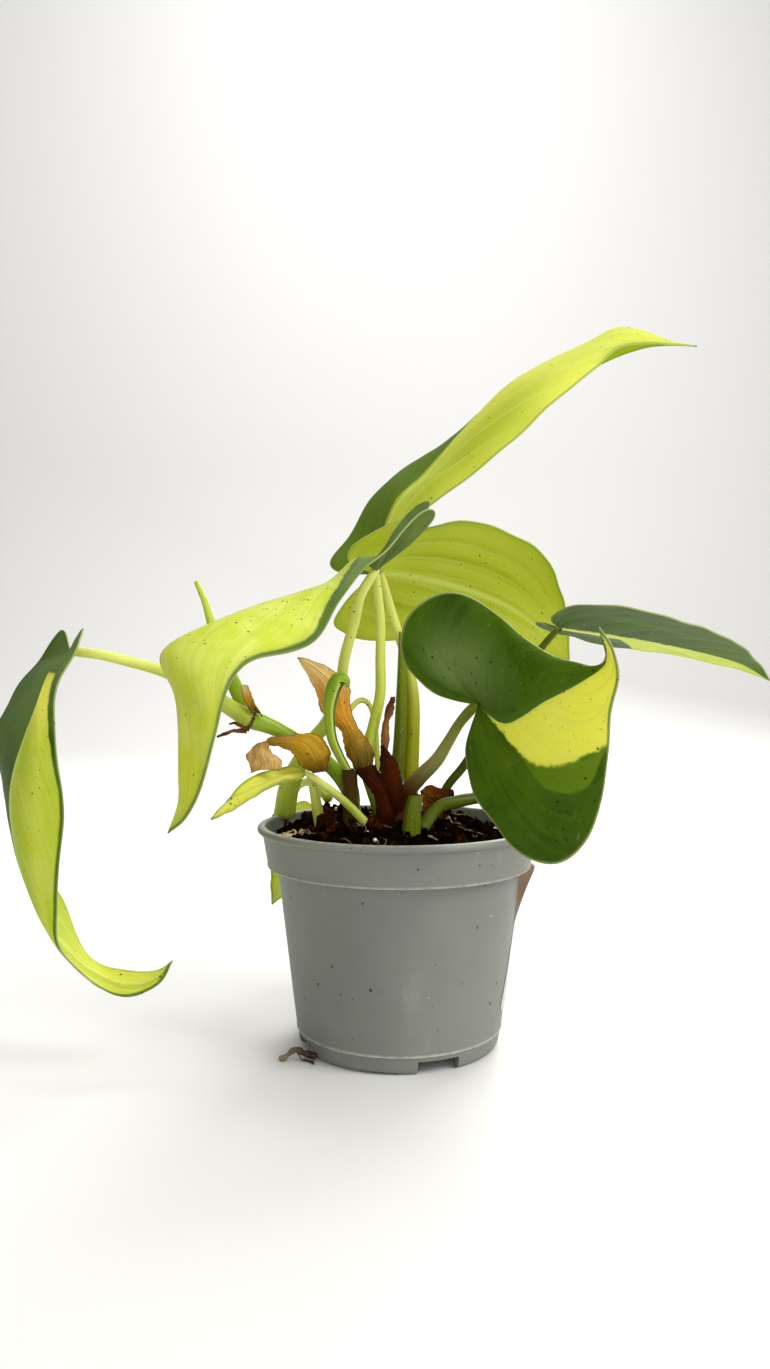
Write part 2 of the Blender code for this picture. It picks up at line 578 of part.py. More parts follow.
blade(
    "husk_red_point",
    [(-5.5, -10, 94), (-3.5, -10.5, 87), (-2, -10, 80), (-2.5, -9, 76)],
    [
        [(-5.5, -10, 94), (-5.5, -10.5, 87), (-4, -10, 81), (-2.5, -9, 76)],
        [(-5.5, -10, 94), (-1.5, -10, 87), (0.5, -9.8, 81), (-2.5, -9, 76)],
    ],
    0.0, [(0, -0.5, 0), (0, -0.5, 0)], HUSK_RED, ribs=8, cross=2, thickness=HUSK_THICKNESS,
)
blade(
    "husk_red_base",
    [(-8.5, -8.8, 87), (-8, -9, 80), (-7, -8.6, 73)],
    [
        [(-8.5, -8.8, 87), (-11, -7, 84), (-10.8, -7, 77), (-7, -8.6, 73)],
        [(-8.5, -8.8, 87), (-6, -8.3, 84), (-5, -7.8, 76), (-7, -8.6, 73)],
    ],
    0.0, [(0, -0.5, 0), (0, -0.5, 0)], HUSK_RED, ribs=8, cross=2, thickness=HUSK_THICKNESS,
)
blade(
    "husk_node",
    [(-46, -18.5, 111), (-44.5, -18.5, 107), (-43, -18, 102)],
    [
        [(-46, -18.5, 111), (-47, -18.5, 106), (-43, -18, 102)],
        [(-46, -18.5, 111), (-42, -18, 106.5), (-43, -18, 102)],
    ],
    0.0, [(0, -0.5, 0), (0, -0.5, 0)], HUSK, ribs=6, cross=2, thickness=HUSK_THICKNESS,
)
blade(
    "husk_right",
    [(9, 0, 80), (13, -1, 79), (19, -2, 80)],
    [
        [(9, 0, 80), (13, -1, 83), (19, -2, 80)],
        [(9, 0, 80), (13, -2, 74), (19, -2, 80)],
    ],
    0.0, [(0, -0.5, 0), (0, -0.5, 0)], HUSK_RED, ribs=6, cross=2, thickness=HUSK_THICKNESS,
)
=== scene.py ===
"""Looks of the potted philodendron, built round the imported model.

Lengths are in millimetres from the pot's axis at table level (x right, y back, z up), as in the CAD source,
and are turned into metres and shifted with the plant when a mesh is made.
"""

import math

import bmesh
import bpy
import numpy as np
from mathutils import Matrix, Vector, noise


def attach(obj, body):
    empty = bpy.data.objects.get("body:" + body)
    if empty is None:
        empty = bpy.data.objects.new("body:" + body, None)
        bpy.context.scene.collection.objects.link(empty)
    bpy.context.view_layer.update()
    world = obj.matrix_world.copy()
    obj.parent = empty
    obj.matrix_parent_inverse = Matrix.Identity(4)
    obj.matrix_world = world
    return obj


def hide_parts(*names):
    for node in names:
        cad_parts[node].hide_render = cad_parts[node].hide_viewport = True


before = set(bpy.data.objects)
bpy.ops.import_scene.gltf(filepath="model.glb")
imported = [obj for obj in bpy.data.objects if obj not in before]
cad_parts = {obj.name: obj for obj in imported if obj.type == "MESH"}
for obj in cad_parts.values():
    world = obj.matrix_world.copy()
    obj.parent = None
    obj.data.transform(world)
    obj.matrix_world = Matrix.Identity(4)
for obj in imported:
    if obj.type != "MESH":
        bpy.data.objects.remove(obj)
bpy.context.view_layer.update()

MM = 0.001
SHIFT = np.array([2.0, 7.0, 0.0])
BODY = "root"

# The pot and the soil, as in the CAD source.
POT_HEIGHT = 69.0
RIM_RADIUS = 45.0
LIP_HEIGHT = 2.6
BAND_TOP_RADIUS = 43.3
BAND_BOTTOM_RADIUS = 41.6
BAND_BOTTOM = 56.1
BODY_TOP_RADIUS = 38.6
FOOT_LINE_HEIGHT = 5.6
FOOT_LINE_RADIUS = 32.5
FOOT_RADIUS = 31.6
WALL = 1.2
NOTCH_ANGLE = -69.0
NOTCH_WIDTH = 13.0
NOTCH_HEIGHT = 4.0
SHALLOW_ANGLE = -102.0
SOIL_EDGE = 64.5
SOIL_CROWN = 69.5

FLOOR_LOW = FOOT_LINE_HEIGHT - 1.0
FLOOR_THICKNESS = 1.4
HOLE_RADIUS = 3.5
HOLE_RING = 22.0
SHALLOW_WIDTH = 11.0
SHALLOW_HEIGHT = 0.8
SOIL_REACH = 38.5

# The sticker: its heights, where it starts to peel, and its end angles with the slope of the first.
LABEL_LOW, LABEL_TOP, LABEL_FLARE = 12.0, 55.6, 38.0
LABEL_START, LABEL_LEAN, LABEL_END = -23.0, 12.0, 70.0
LABEL_CORNER = 3.0
LABEL_GAP = 0.25
LABEL_PEEL = 4.2

# Thicknesses of leaf, sheath and sticker, then the blade's mesh steps and its side veins.
BLADE = 0.5
PAPER = 0.22
LABEL_THICKNESS = 0.18
RIBS = 150
CROSS = 32
VEINS = 8.0

CAMERA_LENS = 26.93
CAMERA_PLACE = (-4.47, -326.3, 117.8)
CAMERA_DOWN = 0.86

rng = np.random.default_rng(11)


# ---------------------------------------------------------------- shader helpers


class Signal:
    """A shader node's output. Adding, subtracting or multiplying makes the node that does it."""

    def __init__(self, nodes, socket):
        self.nodes = nodes
        self.socket = socket

    def __add__(self, other):
        return self.nodes.math("ADD", self, other)

    def __radd__(self, other):
        return self.nodes.math("ADD", other, self)

    def __sub__(self, other):
        return self.nodes.math("SUBTRACT", self, other)

    def __rsub__(self, other):
        return self.nodes.math("SUBTRACT", other, self)

    def __mul__(self, other):
        return self.nodes.math("MULTIPLY", self, other)


class Nodes:
    """A new material and short calls for building its node tree."""

    def __init__(self, name):
        self.material = bpy.data.materials.new(name)
        self.material.use_nodes = True
        self.tree = self.material.node_tree
        self.tree.nodes.clear()

    def put(self, socket, value):
        """Links a signal to an input, or gives the input a plain value."""
        if isinstance(value, Signal):
            self.tree.links.new(value.socket, socket)
        elif isinstance(value, tuple) and socket.type == "RGBA":
            socket.default_value = (*value, 1.0)
        else:
            socket.default_value = value

    def add(self, kind, **inputs):
        """A new node, its inputs given by name or, after an underscore, by number."""
        node = self.tree.nodes.new("ShaderNode" + kind)
        for name, value in inputs.items():
            key = int(name[1:]) if name[0] == "_" else name.replace("_", " ")
            self.put(node.inputs[key], value)
        return node

    def output(self, node, key=0):
        return Signal(self, node.outputs[key])

    def math(self, operation, a, b=0.0):
        node = self.add("Math", _0=a, _1=b)
        node.operation = operation
        return self.output(node)

    def mix(self, factor, a, b, blend="MIX"):
        node = self.add("Mix")
        node.data_type = "RGBA"
        node.blend_type = blend
        for index, value in ((0, factor), (6, a), (7, b)):
            self.put(node.inputs[index], value)
        return self.output(node, 2)

    def ramp(self, value, low, high, smooth=True):
        """0 below `low`, 1 above `high`; the two may be given in falling order."""
        ends = (low, high, 0.0, 1.0) if low <= high else (high, low, 1.0, 0.0)
        names = ("From_Min", "From_Max", "To_Min", "To_Max")
        node = self.add("MapRange", Value=value, **dict(zip(names, ends)))
        node.interpolation_type = "SMOOTHSTEP" if smooth else "LINEAR"
        node.clamp = True
        return self.output(node)

    def attribute(self, name):
        node = self.add("Attribute")
        node.attribute_name = name
        return self.output(node, "Fac")

    def place(self, scale=(1.0, 1.0, 1.0)):
        """Object coordinates in millimetres, stretched by `scale`."""
        coordinates = self.output(self.add("TexCoord"), "Object")
        return self.output(self.add("Mapping", Vector=coordinates, Scale=tuple(s / MM for s in scale)))

    def plane(self, x, y):
        return self.output(self.add("CombineXYZ", X=x, Y=y))

    def noise(self, place, scale, detail=3.0, roughness=0.55):
        node = self.add("TexNoise", Vector=place, Scale=scale, Detail=detail, Roughness=roughness)
        return self.output(node, "Fac")

    def cells(self, place, scale):
        return self.output(self.add("TexVoronoi", Vector=place, Scale=scale), "Distance")

    def speckle(self, place, scale, radius, amount):
        """Round specks up to `radius / scale` mm in radius, in a share `amount` of the cells."""
        node = self.add("TexVoronoi", Vector=place, Scale=scale)
        split = self.add("SeparateColor", Color=self.output(node, "Color"))
        spot = self.math("LESS_THAN", self.output(node, "Distance"), self.output(split, 1) * radius)
        return spot * self.math("LESS_THAN", self.output(split), amount)

    def bump(self, height, strength, distance, under=None):
        node = self.add("Bump", Height=height, Strength=strength, Distance=distance)
        if under is not None:
            self.put(node.inputs["Normal"], under)
        return self.output(node)

    def finish(self, colour, roughness, normal=None, glow=0.0, glow_colour=None, **more):
        """The finished material: a Principled shader, with light let through where `glow` is above 0."""
        if normal is not None:
            more["Normal"] = normal
        surface = self.output(self.add("BsdfPrincipled", Base_Color=colour, Roughness=roughness, **more))
        if glow > 0.0:
            through = self.output(self.add("BsdfTranslucent", Color=glow_colour or colour))
            surface = self.output(self.add("MixShader", _0=glow, _1=surface, _2=through))
        self.add("OutputMaterial", Surface=surface)
        return self.material


def scaled(colour, *factors):
    """The colour times one factor, or times three factors for its red, green and blue."""
    factors = factors if len(factors) == 3 else factors * 3
    return tuple(c * f for c, f in zip(colour, factors))


# ---------------------------------------------------------------- materials

DARK_TOP = (0.042, 0.100, 0.002)
DARK_UNDER = (0.090, 0.155, 0.008)
LIME_TOP = (0.500, 0.600, 0.022)
LIME_UNDER = (0.520, 0.570, 0.060)
LIME_PALE = (0.640, 0.700, 0.150)
LEAF_YELLOW = (0.940, 0.860, 0.100)


def leaf_material(name, under):
    """A blade's skin on its upper side, or `under` it.

    Painted attributes: `lime` and `patch` are distances in mm inside the lime and the mid-green parts, `vein`
    is the phase of the side veins, `across` runs from midrib to margin, `green_edge` is the distance to the
    margin, `tint` a shift from -1 (mid green) to 1 (painted grey-green sheen and shade), `warm` a turn to
    yellow and `dirt` the amount of specks.
    """
    n = Nodes(name)
    place = n.place()
    lime = n.attribute("lime")
    across = n.attribute("across")
    edge = n.attribute("green_edge")
    tint = n.attribute("tint")
    dirt = n.attribute("dirt")
    vein = n.attribute("vein") + n.noise(place, 0.12, 2.0) * 0.02
    wobble = (n.noise(place, 0.22, 5.0, 0.6) - 0.5) * 3.2
    wobble = wobble * (0.15 + n.ramp(edge, 0.8, 4.5) * 0.85)
    is_lime = n.ramp(lime + wobble, -0.5, 0.5)
    mottle = n.noise(place, 0.075, 5.0)
    wide = n.noise(n.plane(vein * 26.0, across), 1.0, 3.0)
    narrow = n.noise(n.plane(vein * 150.0, across), 1.0, 2.0)
    main = n.math("ABSOLUTE", n.math("SINE", vein * (VEINS * math.pi)))
    main_line = n.ramp(main, 0.45 if under else 0.30, 0.0) * n.ramp(across, 1.0, 0.6)
    main_line = main_line * n.ramp(across, 0.02, 0.08)
    rib_line = n.ramp(across, 0.055, 0.01)
    dark = DARK_UNDER if under else DARK_TOP
    light = LIME_UNDER if under else LIME_TOP

    green = n.mix(n.ramp(mottle, 0.35, 0.65), scaled(dark, 0.78), scaled(dark, 1.5, 1.3, 1.0))
    green = n.mix(n.ramp(wide, 0.40, 0.70) * 0.45, green, scaled(dark, 2.2, 1.75, 1.6))
    yellow = n.mix(n.ramp(mottle, 0.36, 0.64), light, LIME_PALE if not under else (0.53, 0.58, 0.085))
    yellow = n.mix(n.ramp(wide, 0.42, 0.66) * 0.55, yellow, scaled(light, 0.84, 0.92, 0.5))
    yellow = n.mix(n.attribute("warm"), yellow, n.mix(mottle, LEAF_YELLOW, (0.88, 0.88, 0.16)))
    mid_green = n.ramp(n.attribute("patch") + wobble * 0.4, -0.2, 0.5)
    green = n.mix(mid_green * 0.95, green, n.mix(wide, (0.125, 0.225, 0.002), (0.19, 0.31, 0.010)))
    colour = n.mix(is_lime, green, yellow)
    shade = n.mix(is_lime, (0.125, 0.215, 0.006), (0.34, 0.43, 0.006))
    colour = n.mix(n.ramp(tint, 0.0, -1.0, False) * 0.95, colour, shade)
    # A positive tint mixes in painted light: a grey-green sheen, and grey-green shade.
    painted_sheen_and_shade = n.mix(mottle, (0.14, 0.22, 0.052), (0.23, 0.32, 0.095))
    colour = n.mix(n.ramp(tint, 0.0, 1.0, False) * 0.85, colour, painted_sheen_and_shade)
    pale = n.mix(is_lime, tuple(c * 1.7 + 0.02 for c in dark), (0.66, 0.71, 0.22))
    colour = n.mix(main_line * (0.28 if under else 0.16), colour, pale)
    colour = n.mix(rib_line * 0.75, colour, pale)
    colour = n.mix(n.ramp(narrow, 0.52, 0.70) * 0.22, colour, pale)
    colour = n.mix(n.ramp(narrow, 0.46, 0.30) * 0.16, colour, shade)
    margin = n.ramp(edge + wobble * 0.2, 0.75, 0.25)
    rim = n.mix(is_lime, (0.20, 0.27, 0.08), (0.16, 0.30, 0.015))
    colour = n.mix(margin * 0.7, colour, rim)
    colour = n.mix(n.ramp(edge, 0.16, 0.05) * 0.8, colour, (0.46, 0.50, 0.20))

    scratch = n.noise(n.place((1.5, 0.09, 0.5)), 1.0, 3.0, 0.6)
    scratch = n.ramp(scratch, 0.665, 0.69) * n.ramp(n.noise(place, 0.10), 0.46, 0.56)
    colour = n.mix(scratch * 0.34, colour, n.mix(0.40, colour, (0.75, 0.78, 0.60)))
    rust = n.ramp(n.noise(place, 0.55, 5.0, 0.7), 0.66, 0.74) * n.ramp(n.noise(place, 0.05), 0.52, 0.60)
    colour = n.mix(rust * 0.55, colour, (0.20, 0.12, 0.03))
    dust = n.speckle(place, 1.1, 0.22, 0.05)
    colour = n.mix(dust * 0.6, colour, (0.50, 0.50, 0.36))
    spot = n.speckle(place, 0.85, 0.34, dirt * 0.50)
    small = n.speckle(place, 2.1, 0.42, dirt * 0.22)
    colour = n.mix(n.math("MAXIMUM", spot, small) * 0.93, colour, (0.035, 0.020, 0.008))

    relief = main_line * (0.9 if under else -0.7)
    relief = relief + narrow * (0.5 if under else -0.5) + spot
    normal = n.bump(relief, 0.6, 0.00022)
    normal = n.bump(n.noise(place, 2.2, 3.0), 0.22, 0.00010, normal)
    rough = (0.50 if under else 0.34) + mottle * 0.20
    lit = n.mix(0.55, colour, n.mix(is_lime, (0.10, 0.26, 0.004), (0.78, 0.84, 0.02)))
    return n.finish(colour, rough, normal, glow=0.36, glow_colour=lit, Specular_IOR_Level=0.11)


def stem_material(name, top, low, base, blotch=0.35, glow=0.12, base_reach=0.20, inner=None, shine=0.26):
    """A stalk's skin, running from `top` at its far end through `low` to `base` at the crown.

    A rolled leaf has its `inner` colour, a painted shade, where the roll passes under its own edge.
    """
    n = Nodes(name)
    along = n.attribute("along")
    around = n.attribute("around")
    place = n.place()
    colour = n.mix(n.ramp(along, 1.0, 0.30), top, low)
    from_base = along + n.noise(place, 0.25) * 0.10
    colour = n.mix(n.ramp(from_base, base_reach, 0.35 * base_reach), colour, base)
    if inner is not None:
        # Painted shade inside the roll, where it passes under its own edge.
        colour = n.mix(n.ramp(around, 0.50, 0.64), colour, inner)
        colour = n.mix(n.ramp(around, 0.05, 0.0), colour, (0.70, 0.74, 0.20))
    ring = n.plane(around * 9.0, along * 2.0)
    lines = n.noise(ring, 2.6, 4.0, 0.65)
    darker = n.mix(1.0, colour, (0.62, 0.70, 0.50), "MULTIPLY")
    colour = n.mix(n.ramp(lines, 0.42, 0.68) * 0.55, colour, darker)
    patch = n.ramp(n.noise(place, 0.16, 5.0), 0.55, 0.72)
    colour = n.mix(patch * blotch, colour, scaled(low, 0.5))
    colour = n.mix(n.speckle(place, 1.6, 0.30, 0.12) * 0.35, colour, (0.80, 0.84, 0.55))
    colour = n.mix(n.speckle(place, 1.0, 0.34, 0.06) * 0.9, colour, (0.06, 0.03, 0.012))
    normal = n.bump(lines, 0.30, 0.00012)
    return n.finish(colour, 0.32, normal, glow=glow, glow_colour=colour, Specular_IOR_Level=shine)


def husk_material(name, top, middle, low, glow, shine=0.18):
    """Dry papery sheath: lengthwise fibres, stains and darker torn edges.

    It runs from `top`, its free end, through `middle` to `low` where it is joined.
    """
    n = Nodes(name)
    vein = n.attribute("vein")
    across = n.attribute("across")
    edge = n.attribute("green_edge")
    place = n.place()
    weave = n.plane(across * 17.0, vein * 0.8)
    fibre = n.noise(weave, 1.6, 4.0, 0.65)
    stain = n.noise(place, 0.20, 5.0, 0.65)
    drift = vein + (stain - 0.5) * 0.5
    colour = n.mix(n.ramp(drift, 0.10, 0.50), top, middle)
    colour = n.mix(n.ramp(drift, 0.55, 1.0), colour, low)
    colour = n.mix(n.ramp(fibre, 0.50, 0.62) * 0.75, colour,
                   n.mix(1.0, colour, (0.45, 0.36, 0.20), "MULTIPLY"))
    veins = n.math("ABSOLUTE", n.math("SINE", across * 30.0 + stain * 3.0))
    colour = n.mix(n.ramp(veins, 0.30, 0.05) * 0.55, colour,
                   n.mix(1.0, colour, (0.40, 0.30, 0.16), "MULTIPLY"))
    colour = n.mix(n.ramp(fibre, 0.46, 0.32) * 0.35, colour, tuple(min(1.0, 1.3 * c) for c in top))
    colour = n.mix(n.ramp(edge, 0.55, 0.05) * 0.55, colour, scaled(low, 0.5))
    colour = n.mix(n.speckle(place, 1.2, 0.35, 0.06), colour, (0.03, 0.015, 0.01))
    normal = n.bump(fibre, 0.9, 0.00035)
    normal = n.bump(n.noise(place, 0.8, 4.0), 0.5, 0.0005, normal)
    return n.finish(colour, 0.50, normal, glow=glow, glow_colour=colour, Specular_IOR_Level=shine)


def soil_material(name, dark, light, grain):
    """Crumbly matter without a shine; a larger `grain` has finer crumbs."""
    n = Nodes(name)
    place = n.place()
    clumps = n.noise(place, 0.45 * grain, 6.0, 0.7)
    fine = n.noise(place, 2.4 * grain, 4.0, 0.7)
    colour = n.mix(n.ramp(clumps, 0.38, 0.66), dark, light)
    colour = n.mix(n.ramp(fine, 0.55, 0.75) * 0.6, colour, scaled(light, 2.6))
    bits = n.ramp(n.cells(place, 0.9), 0.12, 0.05) * n.ramp(n.noise(place, 0.3), 0.60, 0.66)
    colour = n.mix(bits, colour, (0.42, 0.36, 0.27))
    normal = n.bump(clumps, 0.9, 0.0012)
    normal = n.bump(fine, 0.9, 0.0005, normal)
    return n.finish(colour, 0.95 - clumps * 0.25, normal, Specular_IOR_Level=0.0)


def plastic_material():
    """Grey recycled plastic with a faint mould grain, dark flecks, scuffs and dried water marks."""
    n = Nodes("pot_grey_plastic")
    place = n.place()
    cloud = n.noise(place, 0.028, 4.0)
    colour = n.mix(n.ramp(cloud, 0.3, 0.7), (0.144, 0.152, 0.130), (0.170, 0.178, 0.152))
    rings = n.noise(n.place((0.02, 0.02, 1.2)), 1.0, 3.0)
    colour = n.mix(n.ramp(rings, 0.5, 0.8) * 0.08, colour, (0.24, 0.25, 0.235))
    smudge = n.ramp(n.noise(n.place((0.09, 0.09, 0.16)), 1.0, 6.0, 0.65), 0.62, 0.78) * 0.45
    colour = n.mix(smudge, colour, (0.095, 0.092, 0.078))
    chalk = n.ramp(n.noise(n.place((0.10, 0.10, 0.035)), 1.0, 5.0, 0.6), 0.60, 0.78) * 0.22
    colour = n.mix(chalk, colour, (0.30, 0.30, 0.27))
    scuff = n.ramp(n.noise(n.place((0.10, 0.10, 1.3)), 1.0, 5.0, 0.75), 0.70, 0.76)
    colour = n.mix(scuff * 0.30, colour, (0.34, 0.345, 0.32))
    fleck = n.math("MAXIMUM", n.speckle(place, 0.45, 0.26, 0.07), n.speckle(place, 1.1, 0.30, 0.022))
    colour = n.mix(fleck * 0.85, colour, (0.022, 0.020, 0.015))
    colour = n.mix(n.speckle(place, 0.8, 0.22, 0.02) * 0.7, colour, (0.60, 0.58, 0.50))
    edge = n.attribute("edge_wear")
    worn = edge * n.ramp(n.noise(place, 0.4, 4.0), 0.20, 0.60)
    colour = n.mix(worn * 0.60, colour, (0.46, 0.46, 0.40))
    grain = n.noise(place, 3.5, 3.0)
    rough = 0.42 + (cloud + smudge * 0.8) * 0.16
    normal = n.bump(grain, 0.12, 0.00006)
    normal = n.bump(rings, 0.10, 0.00010, normal)
    return n.finish(colour, rough, normal, Specular_IOR_Level=0.40)


def label_material():
    """Blank sticker: off-white face, browned and damp-stained where its top edge has peeled."""
    n = Nodes("label_paper_face")
    place = n.place()
    height = n.attribute("height")
    paper = n.mix(n.ramp(n.noise(place, 0.5, 5.0), 0.3, 0.7), (0.84, 0.83, 0.81), (0.90, 0.89, 0.87))
    grubby = n.ramp(height + n.noise(place, 0.2, 4.0) * 9.0, 40.0, 52.0)
    colour = n.mix(grubby, paper, (0.74, 0.61, 0.52))
    spots = n.ramp(n.cells(place, 0.5), 0.14, 0.05)
    colour = n.mix(spots * 0.6, colour, (0.22, 0.15, 0.10))
    normal = n.bump(n.noise(place, 1.5, 4.0), 0.4, 0.0002)
    return n.finish(colour, 0.72, normal, glow=0.45, glow_colour=colour)


def granule_material(name, dark, light):
    """A dull, rough grain between two colours."""
    n = Nodes(name)
    place = n.place()
    colour = n.mix(n.ramp(n.noise(place, 0.5), 0.35, 0.65), dark, light)
    normal = n.bump(n.noise(place, 2.0, 4.0), 0.8, 0.0004)
    return n.finish(colour, 0.8, normal)


# ---------------------------------------------------------------- mesh helpers


def smooth_curve(points, count):
    """`count` points evenly spaced along a smooth curve through the guide points."""
    guide = np.array(points, float)
    padded = np.vstack([2 * guide[0] - guide[1], guide, 2 * guide[-1] - guide[-2]])
    fine = []
    for p0, p1, p2, p3 in zip(padded, padded[1:], padded[2:], padded[3:]):
        for t in np.linspace(0.0, 1.0, 24, endpoint=False):
            fine.append(0.5 * (2 * p1 + (p2 - p0) * t + (2 * p0 - 5 * p1 + 4 * p2 - p3) * t**2
                               + (3 * p1 - p0 - 3 * p2 + p3) * t**3))
    fine.append(guide[-1])
    fine = np.array(fine)
    along = np.concatenate([[0], np.cumsum(np.linalg.norm(np.diff(fine[:, :3], axis=0), axis=1))])
    wanted = np.linspace(0.0, along[-1], count)
    return np.stack([np.interp(wanted, along, fine[:, k]) for k in range(fine.shape[1])], 1)


def soften(rows, passes):
    """Evens out small kinks along a row of points, keeping both ends."""
    rows = rows.copy()
    for _ in range(passes):
        rows[1:-1] = 0.5 * rows[1:-1] + 0.25 * (rows[:-2] + rows[2:])
    return rows


def blade_grid(midrib, margins, lobe, belly, ribs, cross, passes=6):
    """Points of a blade as [half][rib, step across], with ribs running from the midrib to each margin."""
    spine = soften(smooth_curve(midrib, ribs + 1), passes)
    shares = np.linspace(0.0, 1.0, ribs + 1)
    on_spine = np.clip((shares - lobe) / (1.0 - lobe), 0.0, 1.0)
    start = np.stack([np.interp(on_spine, shares, spine[:, k]) for k in range(3)], 1)
    across = np.linspace(0.0, 1.0, cross + 1)
    halves = []
    for margin, bow in zip(margins, belly):
        edge = soften(smooth_curve([midrib[0], *margin, midrib[-1]], ribs + 1), passes)
        width = np.linalg.norm(edge - start, axis=1)
        swell = width[:, None] / width.max() * 4 * across * (1 - across)
        grid = start[:, None] + (edge - start)[:, None] * across[None, :, None]
        halves.append(grid + swell[:, :, None] * np.array(bow, float))
    return halves, shares, across


def rail(points, radii, steps):
    """Even steps along a smooth stalk: its centres, radii and directions."""
    path = smooth_curve([(*p, r) for p, r in zip(points, radii)], steps)
    centre, radius = path[:, :3], path[:, 3]
    tangent = np.gradient(centre, axis=0)
    tangent /= np.linalg.norm(tangent, axis=1, keepdims=True)
    return centre, radius, tangent


def circle(radius, count):
    """`count` even places round the pot's axis."""
    turns = [2 * math.pi * k / count for k in range(count)]
    return [(radius * math.cos(turn), radius * math.sin(turn)) for turn in turns]


def grid_faces(rows, columns):
    """Quads between the points of an open grid stored row by row."""
    corners = [i * columns + j for i in range(rows - 1) for j in range(columns - 1)]
    return [(a, a + 1, a + columns + 1, a + columns) for a in corners]


def ring_faces(rings, sides):
    """Quads between neighbouring closed rings of `sides` points each."""
    pairs = [(i * sides, k, (k + 1) % sides) for i in range(rings - 1) for k in range(sides)]
    return [(low + k, low + after, low + sides + after, low + sides + k) for low, k, after in pairs]


def hoop_faces(turns, count):
    """Quads of a closed outline of `count` points carried round a full circle."""
    faces = []
    for k in range(turns):
        here, after = k * count, (k + 1) % turns * count
        for i in range(count):
            beside = (i + 1) % count
            faces.append((here + i, after + i, after + beside, here + beside))
    return faces


def add_to_scene(name, data):
    """A new object for a mesh, light or camera."""
    obj = bpy.data.objects.new(name, data)
    bpy.context.scene.collection.objects.link(obj)
    return obj


def make_object(name, vertices, faces, looks, face_looks=None, attributes=None, smooth=True):
    """A mesh object in metres, shifted to where the plant stands."""
    mesh = bpy.data.meshes.new(name)
    points = (np.asarray(vertices, float) + SHIFT) * MM
    mesh.from_pydata(points.tolist(), [], faces)
    for look in looks:
        mesh.materials.append(look)
    if face_looks is not None:
        mesh.polygons.foreach_set("material_index", face_looks)
    mesh.polygons.foreach_set("use_smooth", [smooth] * len(mesh.polygons))
    for key, values in (attributes or {}).items():
        layer = mesh.attributes.new(key, "FLOAT", "POINT")
        layer.data.foreach_set("value", np.asarray(values, float))
    mesh.update()
    return add_to_scene(name, mesh)


def thicken(obj, thickness):
    """Gives a sheet its thickness, half to each side."""
    shell = obj.modifiers.new("Thickness", "SOLIDIFY")
    shell.thickness = thickness * MM
    shell.offset = 0.0
    return shell


def place_piece(obj, slot, *nodes):
    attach(obj, BODY)
    if nodes:
        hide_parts(*nodes)
    return obj


def inside_polygon(points, polygon):
    """Signed distance in mm of each point to the polygon: positive inside."""
    points = np.asarray(points, float)
    polygon = np.asarray(polygon, float)
    following = np.roll(polygon, -1, axis=0)
    nearest = np.full(len(points), 1e9)
    inside = np.zeros(len(points), bool)
    for a, b in zip(polygon, following):
        edge = b - a
        share = np.clip(((points - a) @ edge) / max(edge @ edge, 1e-12), 0.0, 1.0)
        nearest = np.minimum(nearest, np.linalg.norm(points - a - share[:, None] * edge, axis=1))
        crosses = (a[1] > points[:, 1]) != (b[1] > points[:, 1])
        with np.errstate(divide="ignore", invalid="ignore"):
            at = a[0] + (points[:, 1] - a[1]) / (b[1] - a[1]) * edge[0]
        inside ^= crosses & (points[:, 0] < at)
    return np.where(inside, nearest, -nearest)


# ---------------------------------------------------------------- leaves

